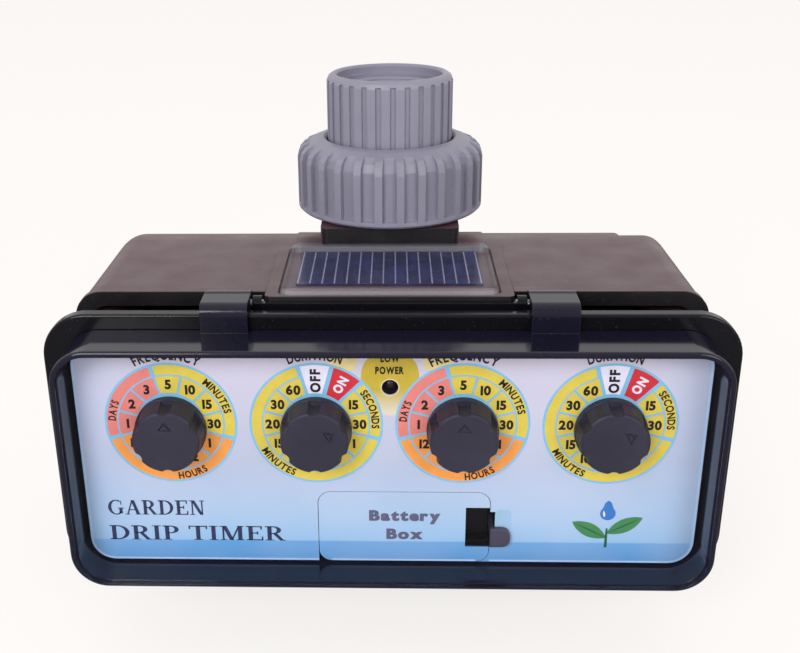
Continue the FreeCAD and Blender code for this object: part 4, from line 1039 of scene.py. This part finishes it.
def valve_bodies(material):
    """Both valve bodies, with the threads that the plain CAD outlets stand for."""
    low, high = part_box("valve_bodies")
    mesh = bmesh.new()
    for side in (-1, 1):
        centre = Vector((side * (high.x - VALVE_R * MM), (low.y + high.y) / 2, 0))
        add_turned(mesh, centre, [(r * MM, low.z + z * MM) for r, z in VALVE_OUTLINE])
        add_thread(mesh, centre, OUTLET_ROOT_R * MM, OUTLET_CREST_R * MM,
                   low.z + OUTLET_THREAD[0] * MM, low.z + OUTLET_THREAD[1] * MM, THREAD_PITCH * MM)
    made = piece("threaded_valve_bodies", mesh, material, "case")
    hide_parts("valve_bodies")


def plunger_springs(material):
    """The coil springs over the plungers, copied from the CAD's springs onto the case."""
    for side in ("left", "right"):
        node = NODES[side + "_plunger_spring"]
        mesh = bmesh.new()
        mesh.from_mesh(node.data)
        mesh.transform(node.matrix_world)
        made = piece(side + "_coil_spring", mesh, material, "case")
        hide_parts(side + "_plunger_spring")
        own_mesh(made)


FILM = 0.03


def add_slab(mesh, x0, x1, y0, y1, z):
    """A thin film that lies on a level surface at z, in metres."""
    for vertex in bmesh.ops.create_cube(mesh, size=1)["verts"]:
        vertex.co = Vector((x0 if vertex.co.x < 0 else x1, y0 if vertex.co.y < 0 else y1,
                            z if vertex.co.z < 0 else z + FILM * MM))


FINGERS = 16
FINGER_HALF = 0.16
FINGER_INSET = 0.4


def solar_fingers():
    """The silver collector lines on the solar cell."""
    low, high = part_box("solar_cell")
    s = Shader("finger_silver")
    tone = s.mix(s.remap(s.noise(0.8), 0.3, 0.7, 0, 1), linear(120, 122, 150),
                 linear(178, 180, 204))
    silver = s.finish(s.principled(Base_Color=tone, Metallic=0.4, Roughness=0.35,
                                   Normal=s.bump(s.noise(0.2), 0.004)))
    mesh = bmesh.new()
    inset = FINGER_INSET * MM
    half = FINGER_HALF * MM
    for i in range(FINGERS):
        x = low.x + inset + (high.x - low.x - 2 * inset) * i / (FINGERS - 1)
        add_slab(mesh, x - half, x + half, low.y + inset, high.y - inset, high.z)
    piece("solar_fingers", mesh, silver, "case")


# ---------------------------------------------------------------- stage, light and camera

CAMERA_AT = Vector((0.88, -282.4, 59.5)) * MM
CAMERA_YAW = -0.038                 # radians, to the right
CAMERA_PITCH = 0.373                # radians, downward
CAMERA_ROLL = 0.014
CAMERA_LENS = 47.93
CAMERA_SHIFT = (0.0558, -0.0283)


def camera():
    data = bpy.data.cameras.new("camera")
    data.sensor_width = 36
    data.lens = CAMERA_LENS
    data.shift_x, data.shift_y = CAMERA_SHIFT
    data.clip_start = 0.01
    data.clip_end = 50
    ahead = Vector((math.sin(CAMERA_YAW) * math.cos(CAMERA_PITCH),
                    math.cos(CAMERA_YAW) * math.cos(CAMERA_PITCH), -math.sin(CAMERA_PITCH)))
    right = Vector((math.cos(CAMERA_YAW), -math.sin(CAMERA_YAW), 0))
    up = right.cross(ahead)
    tilt = Matrix.Rotation(CAMERA_ROLL, 3, ahead)
    right, up = tilt @ right, tilt @ up
    made = bpy.data.objects.new("camera", data)
    made.matrix_world = Matrix((right, up, -ahead)).transposed().to_4x4()
    made.location = CAMERA_AT
    bpy.context.scene.collection.objects.link(made)
    bpy.context.scene.camera = made


FLOOR_HALF = 4.0                    # metres
FLOOR_GAP = 0.2                     # below the object's lowest point


def floor():
    """A wide pale floor, only softly shadowed, and dimmer in glossy reflections, as a matt table is."""
    mesh = bmesh.new()
    bmesh.ops.create_grid(mesh, x_segments=8, y_segments=8, size=FLOOR_HALF)
    data = bpy.data.meshes.new("floor")
    mesh.to_mesh(data)
    mesh.free()
    made = bpy.data.objects.new("floor", data)
    made.location.z = cad_box[0].z - FLOOR_GAP * MM
    bpy.context.scene.collection.objects.link(made)
    s = Shader("pale_floor")
    tone = s.mix(s.noise(60), (0.90, 0.885, 0.865, 1), (0.93, 0.915, 0.895, 1))
    matt = s.principled(Base_Color=tone, Roughness=0.9, Specular_IOR_Level=0.0)
    glow = s.add("ShaderNodeEmission")
    glow.inputs["Color"].default_value = (1.0, 0.976, 0.952, 1)
    soft = s.add("ShaderNodeMixShader")
    s.put(soft.inputs[0], 0.22)
    s.put(soft.inputs[1], glow.outputs[0])
    s.put(soft.inputs[2], matt)
    dim = s.add("ShaderNodeMixShader")
    dark = s.principled(Base_Color=(0.3, 0.29, 0.29, 1), Roughness=0.9, Specular_IOR_Level=0.0)
    s.put(dim.inputs[0], s.add("ShaderNodeLightPath").outputs["Is Glossy Ray"])
    s.put(dim.inputs[1], soft.outputs[0])
    s.put(dim.inputs[2], dark)
    data.materials.append(s.finish(dim.outputs[0]))


def area_light(name, at, target, size, power):
    """A round lamp; its places and size are in metres and its power in watts."""
    data = bpy.data.lights.new(name, "AREA")
    data.shape = "DISK"
    data.size = size
    data.energy = power
    made = bpy.data.objects.new(name, data)
    made.location = at
    made.rotation_euler = (Vector(target) - Vector(at)).to_track_quat("-Z", "Y").to_euler()
    bpy.context.scene.collection.objects.link(made)


def world():
    """A white studio: bright behind and above the object, dimmer on the camera's side."""
    made = bpy.data.worlds.new("studio")
    bpy.context.scene.world = made
    made.use_nodes = True
    tree = made.node_tree
    background = tree.nodes["Background"]
    ray = tree.nodes.new("ShaderNodeTexCoord")
    axes = tree.nodes.new("ShaderNodeSeparateXYZ")
    tree.links.new(ray.outputs["Generated"], axes.inputs[0])
    ramp = tree.nodes.new("ShaderNodeMapRange")
    ramp.interpolation_type = "SMOOTHSTEP"
    ramp.inputs["From Min"].default_value = -0.9
    ramp.inputs["From Max"].default_value = 0.35
    ramp.inputs["To Min"].default_value = 0.55
    ramp.inputs["To Max"].default_value = 1.0
    tree.links.new(axes.outputs["Y"], ramp.inputs["Value"])
    tree.links.new(ramp.outputs["Result"], background.inputs["Strength"])
    background.inputs["Color"].default_value = (1.0, 0.975, 0.955, 1)


def lights():
    """The studio, with two soft lamps in front of the object, the stronger one on the left."""
    world()
    target = (0, -0.05, 0)
    area_light("key", (-0.45, -0.95, 0.50), target, 0.5, 7.6)
    area_light("fill", (0.6, -0.85, 0.35), target, 0.5, 3.4)
    bpy.context.scene.view_settings.view_transform = "Standard"


# ---------------------------------------------------------------- build

dress_case()
dress_face()
plunger_steel = dress_electrics()
tap_grey, valve_black = dress_water()
dress_solar()
for dial_name in DIAL_NAMES:
    dial(dial_name)
power_patch()
battery_words()
label_border()
latch_patch()
title()
emblem()
tap_thread(tap_grey)
valve_bodies(valve_black)
plunger_springs(plunger_steel)
solar_fingers()
camera()
floor()
lights()
